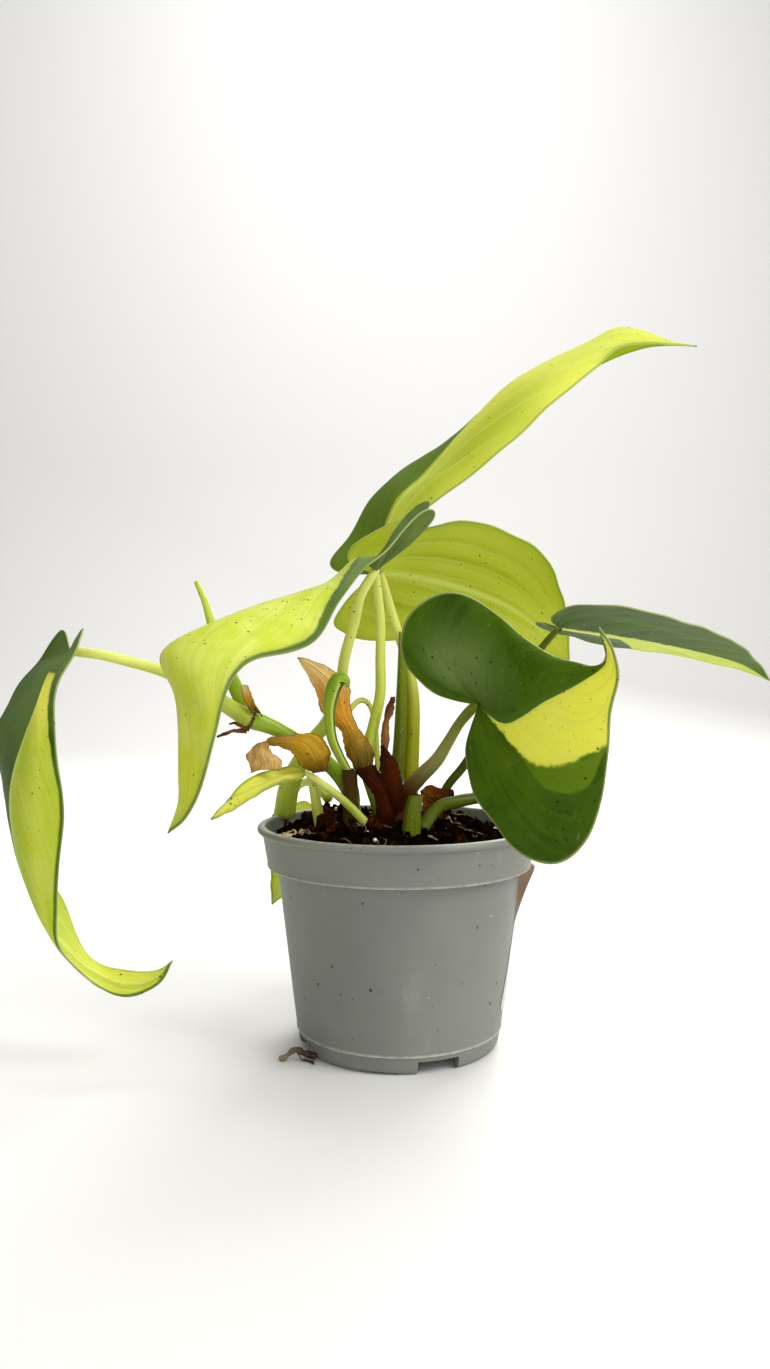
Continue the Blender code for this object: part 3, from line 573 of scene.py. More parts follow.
# Guide points of each blade; both margins also have the two ends of the midrib. `lobe` is the share of the
# ribs that start at the stalk, and `belly` is how far each half bows out in mm.
LEAVES = {
    "leaf_top": dict(
        lobe=0.22, belly=[(-1, -1, 2), (-1, 2, 2)], top_faces_up=True,
        midrib=[(-7, 0, 148), (-1, 3, 169), (9, 6, 180), (21, 9, 195), (35, 12, 210), (48, 16, 219),
         (65, 20, 228), (74, 22, 233), (84, 23.5, 232.2), (90, 24, 230), (95, 24.5, 228.8), (102, 25, 228)],
        margins=[
            [(-16, -5, 151), (-15, -8, 156), (-4, -9, 162), (7, -11, 167), (21, -14, 176), (36, -14, 189),
             (52, -8, 204), (64, 2, 215), (70, 8, 221), (76, 13, 225), (84, 18, 226.8), (91, 22, 227.6)],
            [(-18, 8, 149), (-23, 15, 153), (-17, 24, 163), (-6, 32, 181), (6, 36, 191), (19, 38, 197),
             (36, 38, 207), (56, 37, 217), (70, 33, 224), (84, 28, 228), (92, 26, 228.6)],
        ],
    ),
    "leaf_front_left": dict(
        lobe=0.3, belly=[(0, -2, 2), (-1, 1, 2)], top_faces_up=True,
        midrib=[(-7, -14, 148), (-13, -20, 151), (-20, -32, 143), (-27, -38, 140), (-39, -50, 135),
         (-50, -57, 130), (-60, -60, 125), (-63, -62, 120), (-59, -62, 112), (-58, -62, 103),
         (-58, -62, 91), (-58, -61, 83), (-61, -60, 75)],
        margins=[
            [(4, -18, 156), (11, -21, 164), (7, -24, 165), (-2, -27, 154), (-10, -32, 147), (-17, -46, 136),
             (-22, -56, 126), (-29, -62, 122), (-38, -68, 120), (-43, -72, 114), (-46, -74, 103),
             (-49, -72, 91), (-55, -66, 80)],
            [(0, -14, 157), (10, -16, 168), (6, -15, 168), (-4, -12, 156), (-17, -9, 143), (-30, -14, 133),
             (-43, -24, 128), (-53, -33, 122), (-60, -42, 112), (-57, -47, 98), (-57, -53, 85)],
        ],
    ),
    "leaf_back": dict(
        lobe=0.22, belly=[(0, 3, 2), (0, 2, -2)], top_faces_up=False,
        midrib=[(-6, 5, 149), (5, 9, 148), (16, 13, 146), (27, 17, 143), (39, 20, 138), (50, 24, 130),
         (59, 26, 121)],
        margins=[
            [(-6, 3, 154), (0, 1, 158), (7, -2, 162), (17, -5, 164), (27, -6, 163), (38, -4, 159),
             (48, 1, 152), (53, 9, 143), (57, 18, 134)],
            [(-15, 12, 143), (-22, 22, 134), (-18, 27, 130), (-9, 31, 128), (3, 33, 128), (15, 35, 126),
             (33, 36, 125), (46, 34, 124)],
        ],
    ),
    "leaf_front_right": dict(
        lobe=0.3, belly=[(0, -3, 1), (0, -4, 0)], top_faces_up=True,
        midrib=[(22, -40, 108), (28, -50, 104), (36, -64, 110), (44, -74, 115), (49, -79, 120),
         (47, -80, 128)],
        margins=[
            [(16, -39, 109), (8, -37, 112), (1, -36, 120), (1, -36, 131), (8, -38, 138), (15, -42, 139),
             (23, -48, 135), (33, -58, 125), (41, -68, 120), (47, -76, 118), (49, -80, 121)],
            [(18, -42, 96), (20, -48, 84), (25, -54, 76), (32, -60, 69), (40, -65, 68), (46, -69, 74),
             (49, -73, 84), (50, -77, 97), (50, -80, 107), (51, -83, 116), (50, -82, 123)],
        ],
    ),
    "leaf_right": dict(
        lobe=0.2, belly=[(0, 0, 1), (0, 0, 1)], top_faces_up=True,
        midrib=[(50, -10, 130), (66, -4, 128), (81, 2, 126), (103, 10, 122), (115, 15, 119), (125, 18, 114)],
        margins=[
            [(45, -20, 133), (50, -30, 136), (59, -36, 136), (71, -34, 134), (85, -27, 131),
             (104, -10, 126), (119, 10, 119)],
            [(43, -5, 132.5), (46, 2, 131), (57, 10, 128.5), (72, 19, 125.5), (88, 27, 124), (105, 28, 121),
             (119, 24, 117)],
        ],
    ),
    "leaf_left_hanging": dict(
        lobe=0.15, belly=[(0, -4, 0), (-2, 2, 0)], top_faces_up=True,
        midrib=[(-97, -25, 123), (-102, -27, 118), (-107, -28, 105), (-112, -30, 89), (-113, -31, 77),
         (-110, -32, 61), (-104, -33, 47), (-97, -33, 38), (-90, -32, 31), (-80, -30, 26), (-72, -28, 27),
         (-67, -26, 32)],
        margins=[
            [(-92, -28, 130), (-91, -38, 124), (-94, -44, 115), (-95, -46, 104), (-94, -47, 93),
             (-92, -47, 78), (-94, -46, 65), (-95, -44, 53), (-96, -41, 42), (-93, -38, 34), (-86, -35, 27),
             (-79, -32, 23), (-70, -29, 26)],
            [(-101, -20, 130), (-111, -11, 120), (-122, -4, 109), (-129, 0, 96), (-126, 2, 81),
             (-120, 0, 65), (-111, -8, 53), (-103, -16, 49), (-97, -21, 39), (-90, -25, 31), (-80, -26, 29),
             (-71, -26, 29)],
        ],
    ),
    "leaf_small": dict(
        lobe=0.15, belly=[(0, 0, -1), (0, 0, -1)], top_faces_up=True,
        midrib=[(-29, -13, 86), (-36, -18, 85), (-44, -26, 82), (-50, -32, 79), (-54, -36, 75)],
        margins=[
            [(-32, -11, 88), (-38, -14, 87.3), (-43, -20, 86.3), (-47, -25.5, 84), (-50, -31, 80)],
            [(-30, -17, 85.2), (-34, -21, 84.9), (-38.5, -25.5, 83.4), (-43, -29.5, 80.6),
             (-48, -33.5, 77.6), (-51.5, -35.5, 76)],
        ],
    ),
    "leaf_behind_pot": dict(
        lobe=0.2, belly=[(0, 2, 0), (0, 2, 0)], top_faces_up=False,
        midrib=[(-40, 56, 66), (-42, 62, 52), (-44, 62, 40), (-47, 58, 29)],
        margins=[
            [(-44, 56, 67), (-48.2, 60, 58), (-47.6, 62, 47), (-47.6, 60, 38)],
            [(-34, 60, 68), (-28, 66, 58), (-30, 68, 47), (-38, 64, 36)],
        ],
    ),
}

# Colour patches as outlines of (share along the blade, share from midrib to margin), and the blade's size in
# mm that both shares are measured against.
PATCH_SCALE = (105.0, 28.0)
YELLOW_FRONT_RIGHT = [
    (0.24, -0.05), (0.30, 0.02), (0.36, 0.055), (0.41, 0.08), (0.43, 0.14), (0.455, 0.20), (0.48, 0.30),
    (0.52, 0.38), (0.58, 0.48), (0.65, 0.60), (0.70, 0.73), (0.735, 0.86), (0.77, 1.1), (1.1, 1.1),
    (1.1, -0.05),
]
PALE_FRONT_RIGHT = [
    (0.46, 0.16), (0.47, 0.34), (0.49, 0.50), (0.52, 0.57), (0.57, 0.69), (0.61, 0.78), (0.66, 0.84),
    (0.71, 0.87), (0.77, 1.0), (0.70, 0.60), (0.60, 0.44),
]


def bell(value, centre, width):
    """1 at the centre, falling smoothly to both sides."""
    return np.exp(-(((value - centre) / width) ** 2))


def rise(value, start, end):
    """0 at `start` and 1 at `end`, with a straight slope between."""
    return np.clip((value - start) / (end - start), 0.0, 1.0)


def paint_leaf(name, half, share, across, edge_mm):
    """The painted attributes of a blade's points, as leaf_material reads them; a positive `tint` is painted
    grey-green sheen and shade.
    """
    flat = np.stack([share * PATCH_SCALE[0], across * PATCH_SCALE[1]], 1)
    full = np.full(len(share), 6.0)
    none = np.zeros(len(share))
    lime, tint, warm, dirt, patch = full, none, none + 0.12, none + 0.05, none - 6.0
    if name == "leaf_top":
        if half == 0:
            tint = -0.75 * bell(share, 0.47, 0.20) * bell(across, 0.55, 0.30)
            # Darker, fuller lime towards the stalk: painted shade where the blade turns down.
            tint -= 0.55 * rise(share, 0.24, 0.10)
            tint += 0.45 * bell(share, 0.80, 0.07) * rise(across, 0.80, 0.95)
            warm = 0.18 + 0.25 * bell(share, 0.60, 0.12)
            dirt = none + 0.10
        else:
            lime = 3.0 - 30.0 * across + 60.0 * rise(share, 0.70, 0.90)
            tint = -0.85 + 1.5 * rise(share, 0.16, 0.04)
    elif name == "leaf_front_left":
        dirt = 0.10 + 1.1 * bell(across, 0.0, 0.50) * bell(share, 0.42, 0.16)
        warm = 0.06 + 0.20 * rise(share, 0.55, 0.85)
        if half == 0:
            width = np.interp(share, [0.0, 0.20, 0.30, 0.36, 0.45, 0.55, 0.65, 0.75, 1.0],
                              [40.0, 40.0, 22.0, 8.5, 4.6, 1.7, 1.1, 0.8, 0.5])
            lime = edge_mm - width
            tint = (0.25 + 0.85 * rise(share, 0.46, 0.26)) * (lime < 1.0)
        else:
            lime = np.where(share < 0.28, -5.0, full * rise(share, 0.28, 0.34))
            tint = 1.1 * rise(share, 0.34, 0.26)
    elif name == "leaf_back":
        stripe = bell(across - 0.30 * share, 0.22, 0.07) + 0.8 * bell(across, 0.10, 0.06)
        stripe = stripe + 0.5 * bell(across - 0.30 * share, 0.50, 0.06)
        tint = -0.95 * stripe * rise(share, 0.22, 0.34) * rise(share, 0.85, 0.60)
        tint = tint - 0.45 * rise(across, 0.80, 1.0) - 0.25 * bell(share, 0.24, 0.10)
        warm = 0.15 + 0.25 * rise(share, 0.3, 0.1)
        dirt = none + 0.16
    elif name == "leaf_front_right":
        dirt = none + 0.22
        warm = none + 0.85
        if half == 0:
            lime = -full
            # The grey patch in the middle of the near half is painted sheen.
            tint = 1.25 * bell(share, 0.34, 0.15) * bell(across, 0.42, 0.30) - 0.45 * rise(share, 0.55, 0.75)
            tint -= 0.45 * bell(share, 0.10, 0.10)
        else:
            lime = inside_polygon(flat, np.array(YELLOW_FRONT_RIGHT) * PATCH_SCALE)
            patch = inside_polygon(flat, np.array(PALE_FRONT_RIGHT) * PATCH_SCALE)
            patch = np.maximum(patch, 0.8 - np.abs(lime)) * (edge_mm > 1.0)
            lime = np.minimum(lime, edge_mm - 0.9)
            tint = -0.40 * bell(across, 0.35, 0.22) * (lime < 0.0)
            dirt = 0.22 + 1.3 * bell(share, 0.52, 0.07) * bell(across, 0.80, 0.14)
    elif name == "leaf_right":
        lime = 1.4 - 22.0 * across if half == 0 else 5.0 - 20.0 * across + 34.0 * rise(share, 0.42, 0.68)
        # A painted highlight along a crease of the near half, as a lighter mid green on the dark part.
        crease_highlight = 0.7 * bell(across, 0.55, 0.05) * bell(share, 0.42, 0.2)
        tint = none - (0.15 + crease_highlight + 0.6 * rise(share, 0.5, 0.9))
        tint = tint * (lime < 0.0)
        warm = 0.45 * rise(share, 0.6, 0.2)
    elif name == "leaf_left_hanging":
        dirt = none + 0.16
        if half == 0:
            lime = np.where(share < 0.20, -5.0, full * rise(share, 0.20, 0.26))
            lime = np.minimum(lime, edge_mm - np.interp(share, [0.0, 0.2, 0.4, 1.0], [9.0, 5.0, 1.4, 0.9]))
            tint = -0.45 * bell(across, 0.22, 0.18) * rise(share, 0.25, 0.35)
            tint -= 0.30 * rise(share, 0.30, 0.40) * rise(share, 0.80, 0.70)
            # Grey-green on the dark part near the stalk is painted shade.
            tint += 0.8 * rise(share, 0.34, 0.22) * (lime < 0.5)
            warm = 0.15 + 0.9 * bell(share, 0.25, 0.05) + 0.3 * bell(across, 0.62, 0.12)
        else:
            lime = (share - 0.62) * 40.0 + 3.0 - 20.0 * across * (share < 0.62)
            # Grey-green near the stalk on the far half is painted sheen.
            tint = 0.95 * rise(share, 0.42, 0.26) * np.clip(1.15 - across, 0, 1)
            tint = tint - 0.25 * rise(share, 0.3, 0.5)
            warm = 0.10 + 0.55 * rise(share, 0.75, 0.90)
    elif name == "leaf_small":
        warm = none + 0.70
        dirt = 1.2 * rise(share, 0.68, 0.85)
    return {"lime": lime, "tint": tint, "warm": warm + none, "dirt": dirt + none, "patch": patch}


def blurred(values, passes):
    """A painted grid with its steps evened out, so that a colour's edge runs smoothly across the mesh."""
    for _ in range(passes):
        padded = np.pad(values, 1, mode="edge")
        beside = padded[:-2, 1:-1] + padded[2:, 1:-1] + padded[1:-1, :-2] + padded[1:-1, 2:]
        values = 0.5 * values + 0.125 * beside
    return values


def build_blade(name, midrib, margins, lobe, belly, looks, ruffle, ribs, cross, fan, pale_rim):
    """A fine closed blade with its vein relief, margin waves and painted attributes."""
    halves, shares, steps = blade_grid(midrib, margins, lobe, belly, ribs, cross)
    vertices, faces = [], []
    data = {key: [] for key in ("lime", "tint", "warm", "dirt", "patch", "vein", "across", "green_edge")}
    seam = [0] * (ribs + 1)
    for half, grid in enumerate(halves):
        along = np.gradient(grid, axis=0)
        outward = np.gradient(grid, axis=1)
        normal = np.cross(along, outward)
        size = np.linalg.norm(normal, axis=2, keepdims=True)
        normal = normal / np.maximum(size, 1e-6) * (1.0 if half == 0 else -1.0)
        share = np.repeat(shares[:, None], cross + 1, 1)
        across = np.repeat(steps[None, :], ribs + 1, 0)
        width = np.linalg.norm(grid[:, -1] - grid[:, 0], axis=1)[:, None]
        edge_mm = (1.0 - across) * width
        vein = 0.47 * across**0.85 - 0.14 * share if fan else share - 0.30 * across**1.25
        ends = np.clip(share * 12, 0, 1) * np.clip((1 - share) * 10, 0, 1)
        wave = np.sin(share * 31.0 + half * 2.0) + 0.6 * np.sin(share * 53.0 + 1.3 + half)
        relief = ruffle * 0.5 * wave * across**3 * ends
        relief += 0.10 * ends * np.abs(np.sin(vein * VEINS * math.pi)) * np.clip(across * 4, 0, 1)
        relief -= 0.35 * ends * np.exp(-((across / 0.06) ** 2))
        grid = grid + normal * relief[:, :, None]
        painted = paint_leaf(name, half, share.ravel(), across.ravel(), edge_mm.ravel())
        painted = {key: blurred(values.reshape(share.shape), 4) for key, values in painted.items()}
        painted.update(vein=vein, across=across, green_edge=edge_mm - pale_rim)
        index = np.zeros((ribs + 1, cross + 1), int)
        for i in range(ribs + 1):
            for j in range(cross + 1):
                at_joint = shares[i] <= lobe and j == 0 or i == 0
                if half == 1 and j == 0:
                    index[i, j] = seam[i]
                    continue
                if at_joint and vertices:
                    index[i, j] = 0
                    continue
                if i == ribs and j > 0:
                    index[i, j] = index[i, 0]
                    continue
                index[i, j] = len(vertices)
                vertices.append(grid[i, j])
                for key, values in painted.items():
                    data[key].append(values[i, j])
        if half == 0:
            seam = list(index[:, 0])
        for i in range(ribs):
            for j in range(cross):
                corners = [index[i, j], index[i + 1, j], index[i + 1, j + 1], index[i, j + 1]]
                corners = list(dict.fromkeys(int(c) for c in corners))
                if len(corners) > 2:
                    faces.append(corners if half == 0 else corners[::-1])
    obj = make_object(name + "_blade", vertices, faces, looks, None, data)
    shell = thicken(obj, BLADE)
    shell.material_offset = 1
    shell.material_offset_rim = 0
    return obj


def tube(name, points, radii, look, sides=18, steps=60):
    """A closed round stalk through the guide points, with rounded ends. `along` is 1 at its first point."""
    centre, radius, tangent = rail(points, radii, steps)
    across = np.cross(tangent[0], (0.3, 1.0, 0.2))
    across /= np.linalg.norm(across)
    vertices, along, around = [], [], []
    turns = np.linspace(0.0, 2 * math.pi, sides, endpoint=False)
    for i in range(steps):
        across = across - tangent[i] * (across @ tangent[i])
        across /= np.linalg.norm(across)
        side = np.cross(tangent[i], across)
        for turn in turns:
            swell = 1.0 + 0.035 * math.sin(3 * turn + 0.15 * i) + 0.02 * math.sin(7 * turn)
            vertices.append(centre[i] + radius[i] * swell * (math.cos(turn) * across + math.sin(turn) * side))
            along.append(1.0 - i / (steps - 1))
            around.append(abs(turn / math.pi - 1.0))
    faces = ring_faces(steps, sides)
    for end, sign in ((0, -1.0), (steps - 1, 1.0)):
        ring = [end * sides + k for k in range(sides)]
        tip = len(vertices)
        vertices.append(centre[end] + sign * tangent[end] * radius[end] * 0.35)
        along.append(1.0 - end / (steps - 1))
        around.append(0.5)
        for k in range(sides):
            following = (k + 1) % sides
            faces.append((ring[following], ring[k], tip) if end == 0 else (ring[k], ring[following], tip))
    return make_object(name, vertices, faces, [look], None, {"along": along, "around": around})


LEAF_TOP_LOOK = leaf_material("leaf_upper_skin", False)
LEAF_UNDER_LOOK = leaf_material("leaf_under_skin", True)

for leaf_name, shape in LEAVES.items():
    small = leaf_name in ("leaf_small", "leaf_behind_pot")
    pair = [LEAF_TOP_LOOK, LEAF_UNDER_LOOK]
    leaf = build_blade(
        leaf_name, shape["midrib"], shape["margins"], shape["lobe"], shape["belly"],
        looks=pair if shape["top_faces_up"] else pair[::-1],
        ruffle=0.25 if small else 0.30 if leaf_name == "leaf_right" else 0.55,
        ribs=70 if small else RIBS, cross=16 if small else CROSS,
        fan=leaf_name == "leaf_back", pale_rim=0.35 if leaf_name == "leaf_front_right" else 0.0,
    )
    dark_leaf = leaf_name in ("leaf_front_right", "leaf_right")
    place_piece(leaf, "leaf_dark" if dark_leaf else "leaf_variegated", leaf_name)


# ---------------------------------------------------------------- petioles and stems

PETIOLE = stem_material(
    "petiole_skin", (0.80, 0.82, 0.230), (0.58, 0.64, 0.100), (0.46, 0.54, 0.060), 0.10, 0.32)
PETIOLE_OLIVE = stem_material(
    "petiole_skin_olive", (0.85, 0.86, 0.230), (0.37, 0.37, 0.004), (0.20, 0.21, 0.003), 0.15, 0.25)
PETIOLE_RED = stem_material(
    "petiole_skin_red_based", (0.14, 0.17, 0.006), (0.44, 0.42, 0.140), (0.085, 0.024, 0.004),
    0.35, 0.10, 0.66, shine=0.14)
PETIOLE_GREEN = stem_material(
    "petiole_skin_green", (0.11, 0.14, 0.010), (0.075, 0.095, 0.003), (0.09, 0.05, 0.003), 0.4, shine=0.14)
STEM_GREEN = stem_material(
    "stem_skin_green", (0.33, 0.45, 0.035), (0.24, 0.36, 0.020), (0.13, 0.20, 0.012), 0.2, 0.25)
STEM_DARK = stem_material(
    "stem_skin_dark", (0.15, 0.21, 0.003), (0.10, 0.125, 0.002), (0.06, 0.07, 0.002), 0.3, shine=0.16)
PETIOLE_TOP = stem_material(
    "petiole_skin_long", (0.76, 0.78, 0.200), (0.50, 0.56, 0.050), (0.15, 0.21, 0.006), 0.15, 0.28, 0.36)
STUMP_SKIN = stem_material(
    "stump_skin", (0.045, 0.022, 0.004), (0.050, 0.038, 0.003), (0.03, 0.016, 0.002), 0.5, 0.0, shine=0.03)
STUMP_GREEN = stem_material(
    "stump_skin_green", (0.10, 0.13, 0.004), (0.11, 0.14, 0.003), (0.04, 0.04, 0.002),
    0.3, 0.05, 0.40, shine=0.10)
NEW_LEAF_SKIN = stem_material(
    "new_leaf_skin", (0.58, 0.66, 0.080), (0.36, 0.50, 0.030), (0.32, 0.46, 0.040), 0.1, 0.32)
ROOT_SKIN = stem_material(
    "root_skin", (0.19, 0.155, 0.100), (0.055, 0.030, 0.018), (0.035, 0.012, 0.006), 0.6, 0.0, 0.40)

STEMS = [
    ("petiole_top", PETIOLE_TOP, "stem_lime",
     [(-7, 0, 148), (-7.2, 0.8, 146), (-6, 2, 134), (-6, 2, 121), (-6, 0, 110), (-8, -2, 100),
      (-10.2, -4, 91), (-10.3, -4.6, 87), (-8.6, -5.2, 80), (-6.6, -5.4, 73), (-6, -5.4, 68)],
     [1.0, 1.4, 1.5, 1.6, 1.7, 1.8, 2.2, 2.3, 1.9, 1.7, 1.7]),
    ("petiole_front_left", PETIOLE, "stem_lime",
     [(-7.2, -13.9, 147.6), (-8.5, -14.3, 146), (-12, -14, 140), (-14, -10, 132), (-17, -6, 122),
      (-19, -1, 111), (-23, 3, 101), (-29, 8, 93), (-36, 15, 80), (-38.5, 19, 69)],
     [1.0, 1.4, 1.5, 1.6, 1.7, 1.8, 2.0, 2.5, 3.4, 3.7]),
    ("petiole_back", PETIOLE_OLIVE, "stem_lime",
     [(-5.9, 5.1, 148.8), (-5, 6.4, 146), (-3, 8, 139), (0, 8, 129), (3, 8, 119), (4.6, 7, 108),
      (4.5, 6, 95), (3.8, 5, 79), (3.6, 5, 68)],
     [1.0, 1.3, 1.4, 1.5, 1.8, 2.2, 2.4, 2.5, 2.6]),
    ("petiole_front_right", PETIOLE_RED, "stem_green",
     [(21.6, -39.6, 107.9), (20, -37, 106.5), (17, -30, 102), (14, -24, 96), (11, -17, 90), (6, -10, 84),
      (1, -5, 77), (0, -4.5, 68)],
     [1.0, 1.5, 1.5, 1.7, 2.1, 2.4, 2.5, 2.4]),
    ("petiole_right", PETIOLE_GREEN, "stem_green",
     [(49.7, -10, 129.9), (48, -9, 129), (44, -7, 124), (35, -4, 111), (27, 0, 97), (21, 2, 87),
      (15, 3, 79), (12, 4, 68)],
     [0.8, 1.0, 1.1, 1.2, 1.3, 1.4, 1.4, 1.5]),
    ("petiole_left_hanging", PETIOLE, "stem_lime",
     [(-96.8, -25, 122.9), (-94.5, -25, 122.8), (-88, -25, 122), (-80, -24, 120), (-70, -22, 117),
      (-59, -18, 111.5), (-52, -16, 106.5), (-45.6, -14.8, 102.6)],
     [0.9, 1.4, 1.5, 1.6, 1.7, 2.0, 2.5, 3.0]),
    ("petiole_small", PETIOLE, "stem_lime",
     [(-28.7, -13.2, 86), (-27, -14, 85.2), (-24, -14, 83), (-16, -13, 76.5), (-9, -12.3, 69)],
     [0.8, 1.0, 1.2, 1.3, 1.4]),
    ("petiole_behind_pot", PETIOLE, "stem_lime",
     [(-39.8, 55.6, 66.4), (-36, 47, 75), (-30, 36, 77.5), (-24, 27, 73)],
     [0.9, 1.3, 1.5, 1.7]),
    ("stem_main", STEM_DARK, "stem_green",
     [(0.4, 6.4, 130), (0.9, 5.2, 121), (0.9, 4.2, 108), (0.3, 3.6, 92), (-1.2, 2.8, 79), (-1.8, 2.6, 68)],
     [0.3, 1.2, 1.9, 2.2, 2.3, 2.4]),
    ("stem_left_branch", STEM_GREEN, "stem_green",
     [(-46.0, -14.9, 102.8), (-43.5, -14, 102), (-38, -12, 99.5), (-31, -9, 95), (-22, -5, 88),
      (-16, -1, 79), (-14, 2, 68.5)],
     [3.0, 2.9, 2.4, 2.3, 2.4, 2.4, 2.4]),
    ("stem_low_right", PETIOLE_GREEN, "stem_green",
     [(7, -12.5, 69), (12, -10, 75), (18, -8, 76.5), (26, -4, 77.5)],
     [2.0, 2.0, 2.0, 1.9]),
    ("stem_arched", PETIOLE, "stem_lime",
     [(-17.5, 3, 98), (-16, 3.5, 104), (-13, 4, 107.5), (-10, 4.5, 107), (-8, 4.5, 102), (-7, 4.2, 90),
      (-6.5, 3.8, 68)],
     [0.7, 0.9, 0.9, 0.9, 0.9, 0.9, 0.9]),
    ("stem_pale_stub", PETIOLE, "stem_lime",
     [(-28, -3, 84), (-26.5, -2.5, 77), (-25, -2, 68)],
     [1.3, 1.6, 1.9]),
    ("new_leaf_spear", NEW_LEAF_SKIN, "stem_lime",
     [(-63, -8, 145), (-60, -9, 138), (-57, -10, 128), (-53, -11, 118), (-46.8, -13.2, 105)],
     [0.8, 1.1, 1.6, 2.1, 2.6]),
    ("drain_root", ROOT_SKIN, "root_brown",
     [(-36.2, -20.2, 0.9), (-34.9, -20.2, 1.0), (-33.6, -20.1, 1.9), (-32.4, -20, 2.9), (-31.2, -20, 3.3),
      (-30.0, -20, 2.9), (-29.0, -19.8, 2.3), (-27.8, -19.7, 1.9), (-26.6, -19.6, 1.5), (-25.4, -19.5, 1.2)],
     [0.75, 0.95, 0.65, 0.95, 0.85, 1.15, 0.8, 1.2, 0.9, 1.1]),
    ("root_strand_a", ROOT_SKIN, "root_brown",
     [(-28.6, -20, 1.6), (-27.6, -21.2, 0.6), (-26.2, -22.4, 0.6), (-25.6, -23.6, 0.5)],
     [0.4, 0.3, 0.42, 0.2]),
    ("root_strand_b", ROOT_SKIN, "root_brown",
     [(-30.6, -19.8, 2.4), (-29.6, -20.8, 0.8), (-28.4, -21.0, 0.6), (-27.2, -21.8, 0.6)],
     [0.3, 0.25, 0.3, 0.15]),
]

for stem_name, look, stem_slot, guide, radii in STEMS:
    place_piece(tube(stem_name + "_stalk", guide, radii, look), stem_slot,
                *[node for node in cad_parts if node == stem_name])


SCAR_SKIN = stem_material(
    "node_scar_skin", (0.10, 0.035, 0.010), (0.06, 0.020, 0.006), (0.04, 0.014, 0.005), 0.6, 0.0)


def cut_stump(name, points, radii, look, lean):
    """A cut stalk: a ribbed side that ends in a dry rim round a sunken, dark cut face, sloped by `lean`."""
    steps, sides = 40, 48
    centre, radius, _ = rail(points, radii, steps)
    rings = [(centre[i], radius[i], 0.0, 1.0 - i / (steps - 1)) for i in range(steps)][::-1]
    cut_face = ((1.03, 0.25), (0.97, 0.42), (0.86, 0.30), (0.74, -0.15), (0.55, -0.45), (0.30, -0.60),
                (0.08, -0.50))
    rings += [(centre[0], radius[0] * share, dip, 2.0) for share, dip in cut_face]
    vertices, along, around = [], [], []
    for middle, reach, lift, share in rings:
        for k in range(sides):
            turn = 2 * math.pi * k / sides
            swell = reach * (1.0 + 0.05 * math.sin(5 * turn) + 0.025 * math.sin(11 * turn + 1.0))
            spot = Vector((3 * math.cos(turn), 3 * math.sin(turn), reach))
            ragged = 0.28 * noise.noise(spot) if share > 1 else 0.0
            slope = lean * math.cos(turn) * swell * max(0.0, 8.0 * min(share, 1.0) - 7.0)
            vertices.append(middle + np.array((swell * math.cos(turn), swell * math.sin(turn),
                                               lift + ragged + slope)))
            along.append(min(share, 1.0))
            around.append(abs(turn / math.pi - 1.0))
    faces = ring_faces(len(rings), sides)
    faces.append([(len(rings) - 1) * sides + k for k in range(sides)])
    faces.append(list(range(sides))[::-1])
    cut_from = steps * sides
    face_looks = [1 if min(face) >= cut_from else 0 for face in faces]
    stump = make_object(name + "_stalk", vertices, faces, [look, CUT_LOOK], face_looks,
                        {"along": along, "around": around})
    return place_piece(stump, "stump", name)


CUT_LOOK = stem_material(
    "stump_cut_face", (0.018, 0.008, 0.004), (0.018, 0.008, 0.004), (0.018, 0.008, 0.004),
    0.7, 0.0, shine=0.02)
cut_stump("stump_left", [(-15.5, -8.6, 86.3), (-15.2, -8.2, 77), (-14.5, -7, 64)], [2.3, 2.4, 2.6],
          STUMP_SKIN, 0.10)
cut_stump("stump_front", [(5, -17, 79.5), (4, -17, 75), (3, -16.5, 62)], [2.1, 2.5, 3.0], STUMP_GREEN, -0.12)


def node_scar():
    """The dark ragged ring that an old sheath left round the node of the left branch."""
    centre, axis = np.array([-45.3, -14.7, 102.6]), np.array([7.0, 2.6, -3.0])
    axis /= np.linalg.norm(axis)
    side = np.cross(axis, (0.0, 0.0, 1.0))
    side /= np.linalg.norm(side)
    lift = np.cross(side, axis)
    vertices, along, around = [], [], []
    turns, rows = 72, 6
    for k in range(turns):
        turn = 2 * math.pi * k / turns
        spread = 0.55 + 0.45 * noise.noise(Vector((6 * math.cos(turn), 6 * math.sin(turn), 0.5)))
        for j in range(rows):
            inner = 2 * math.pi * j / rows
            reach = 3.02 + 0.20 * math.cos(inner)
            vertices.append(centre + reach * (math.cos(turn) * side + math.sin(turn) * lift)
                            + axis * spread * math.sin(inner))
            along.append(k / turns)
            around.append(j / rows)
    scar = make_object("node_scar", vertices, hoop_faces(turns, rows), [SCAR_SKIN], None,
                       {"along": along, "around": around})
    place_piece(scar, "husk_brown")


node_scar()

# ---------------------------------------------------------------- husks

HUSK_TAN = husk_material(
    "husk_orange_brown", (0.97, 0.80, 0.44), (0.88, 0.52, 0.060), (0.26, 0.17, 0.006), 0.58)
HUSK_LOW = husk_material(
    "husk_amber_brown", (0.50, 0.28, 0.030), (0.66, 0.40, 0.018), (0.17, 0.09, 0.003), 0.40)
HUSK_PALE = husk_material(
    "husk_papery_tan", (0.62, 0.36, 0.10), (0.80, 0.57, 0.24), (0.78, 0.52, 0.20), 0.42)
HUSK_RED = husk_material(
    "husk_dark_red", (0.040, 0.009, 0.002), (0.065, 0.012, 0.002), (0.030, 0.006, 0.001), 0.10, 0.02)
HUSK_BROWN = husk_material(
    "husk_brown_shaded", (0.10, 0.030, 0.010), (0.34, 0.15, 0.030), (0.14, 0.05, 0.012), 0.20)
HUSK_RUST = husk_material(
    "husk_rusty_rags", (0.22, 0.068, 0.006), (0.09, 0.022, 0.003), (0.03, 0.007, 0.002), 0.15, 0.05)


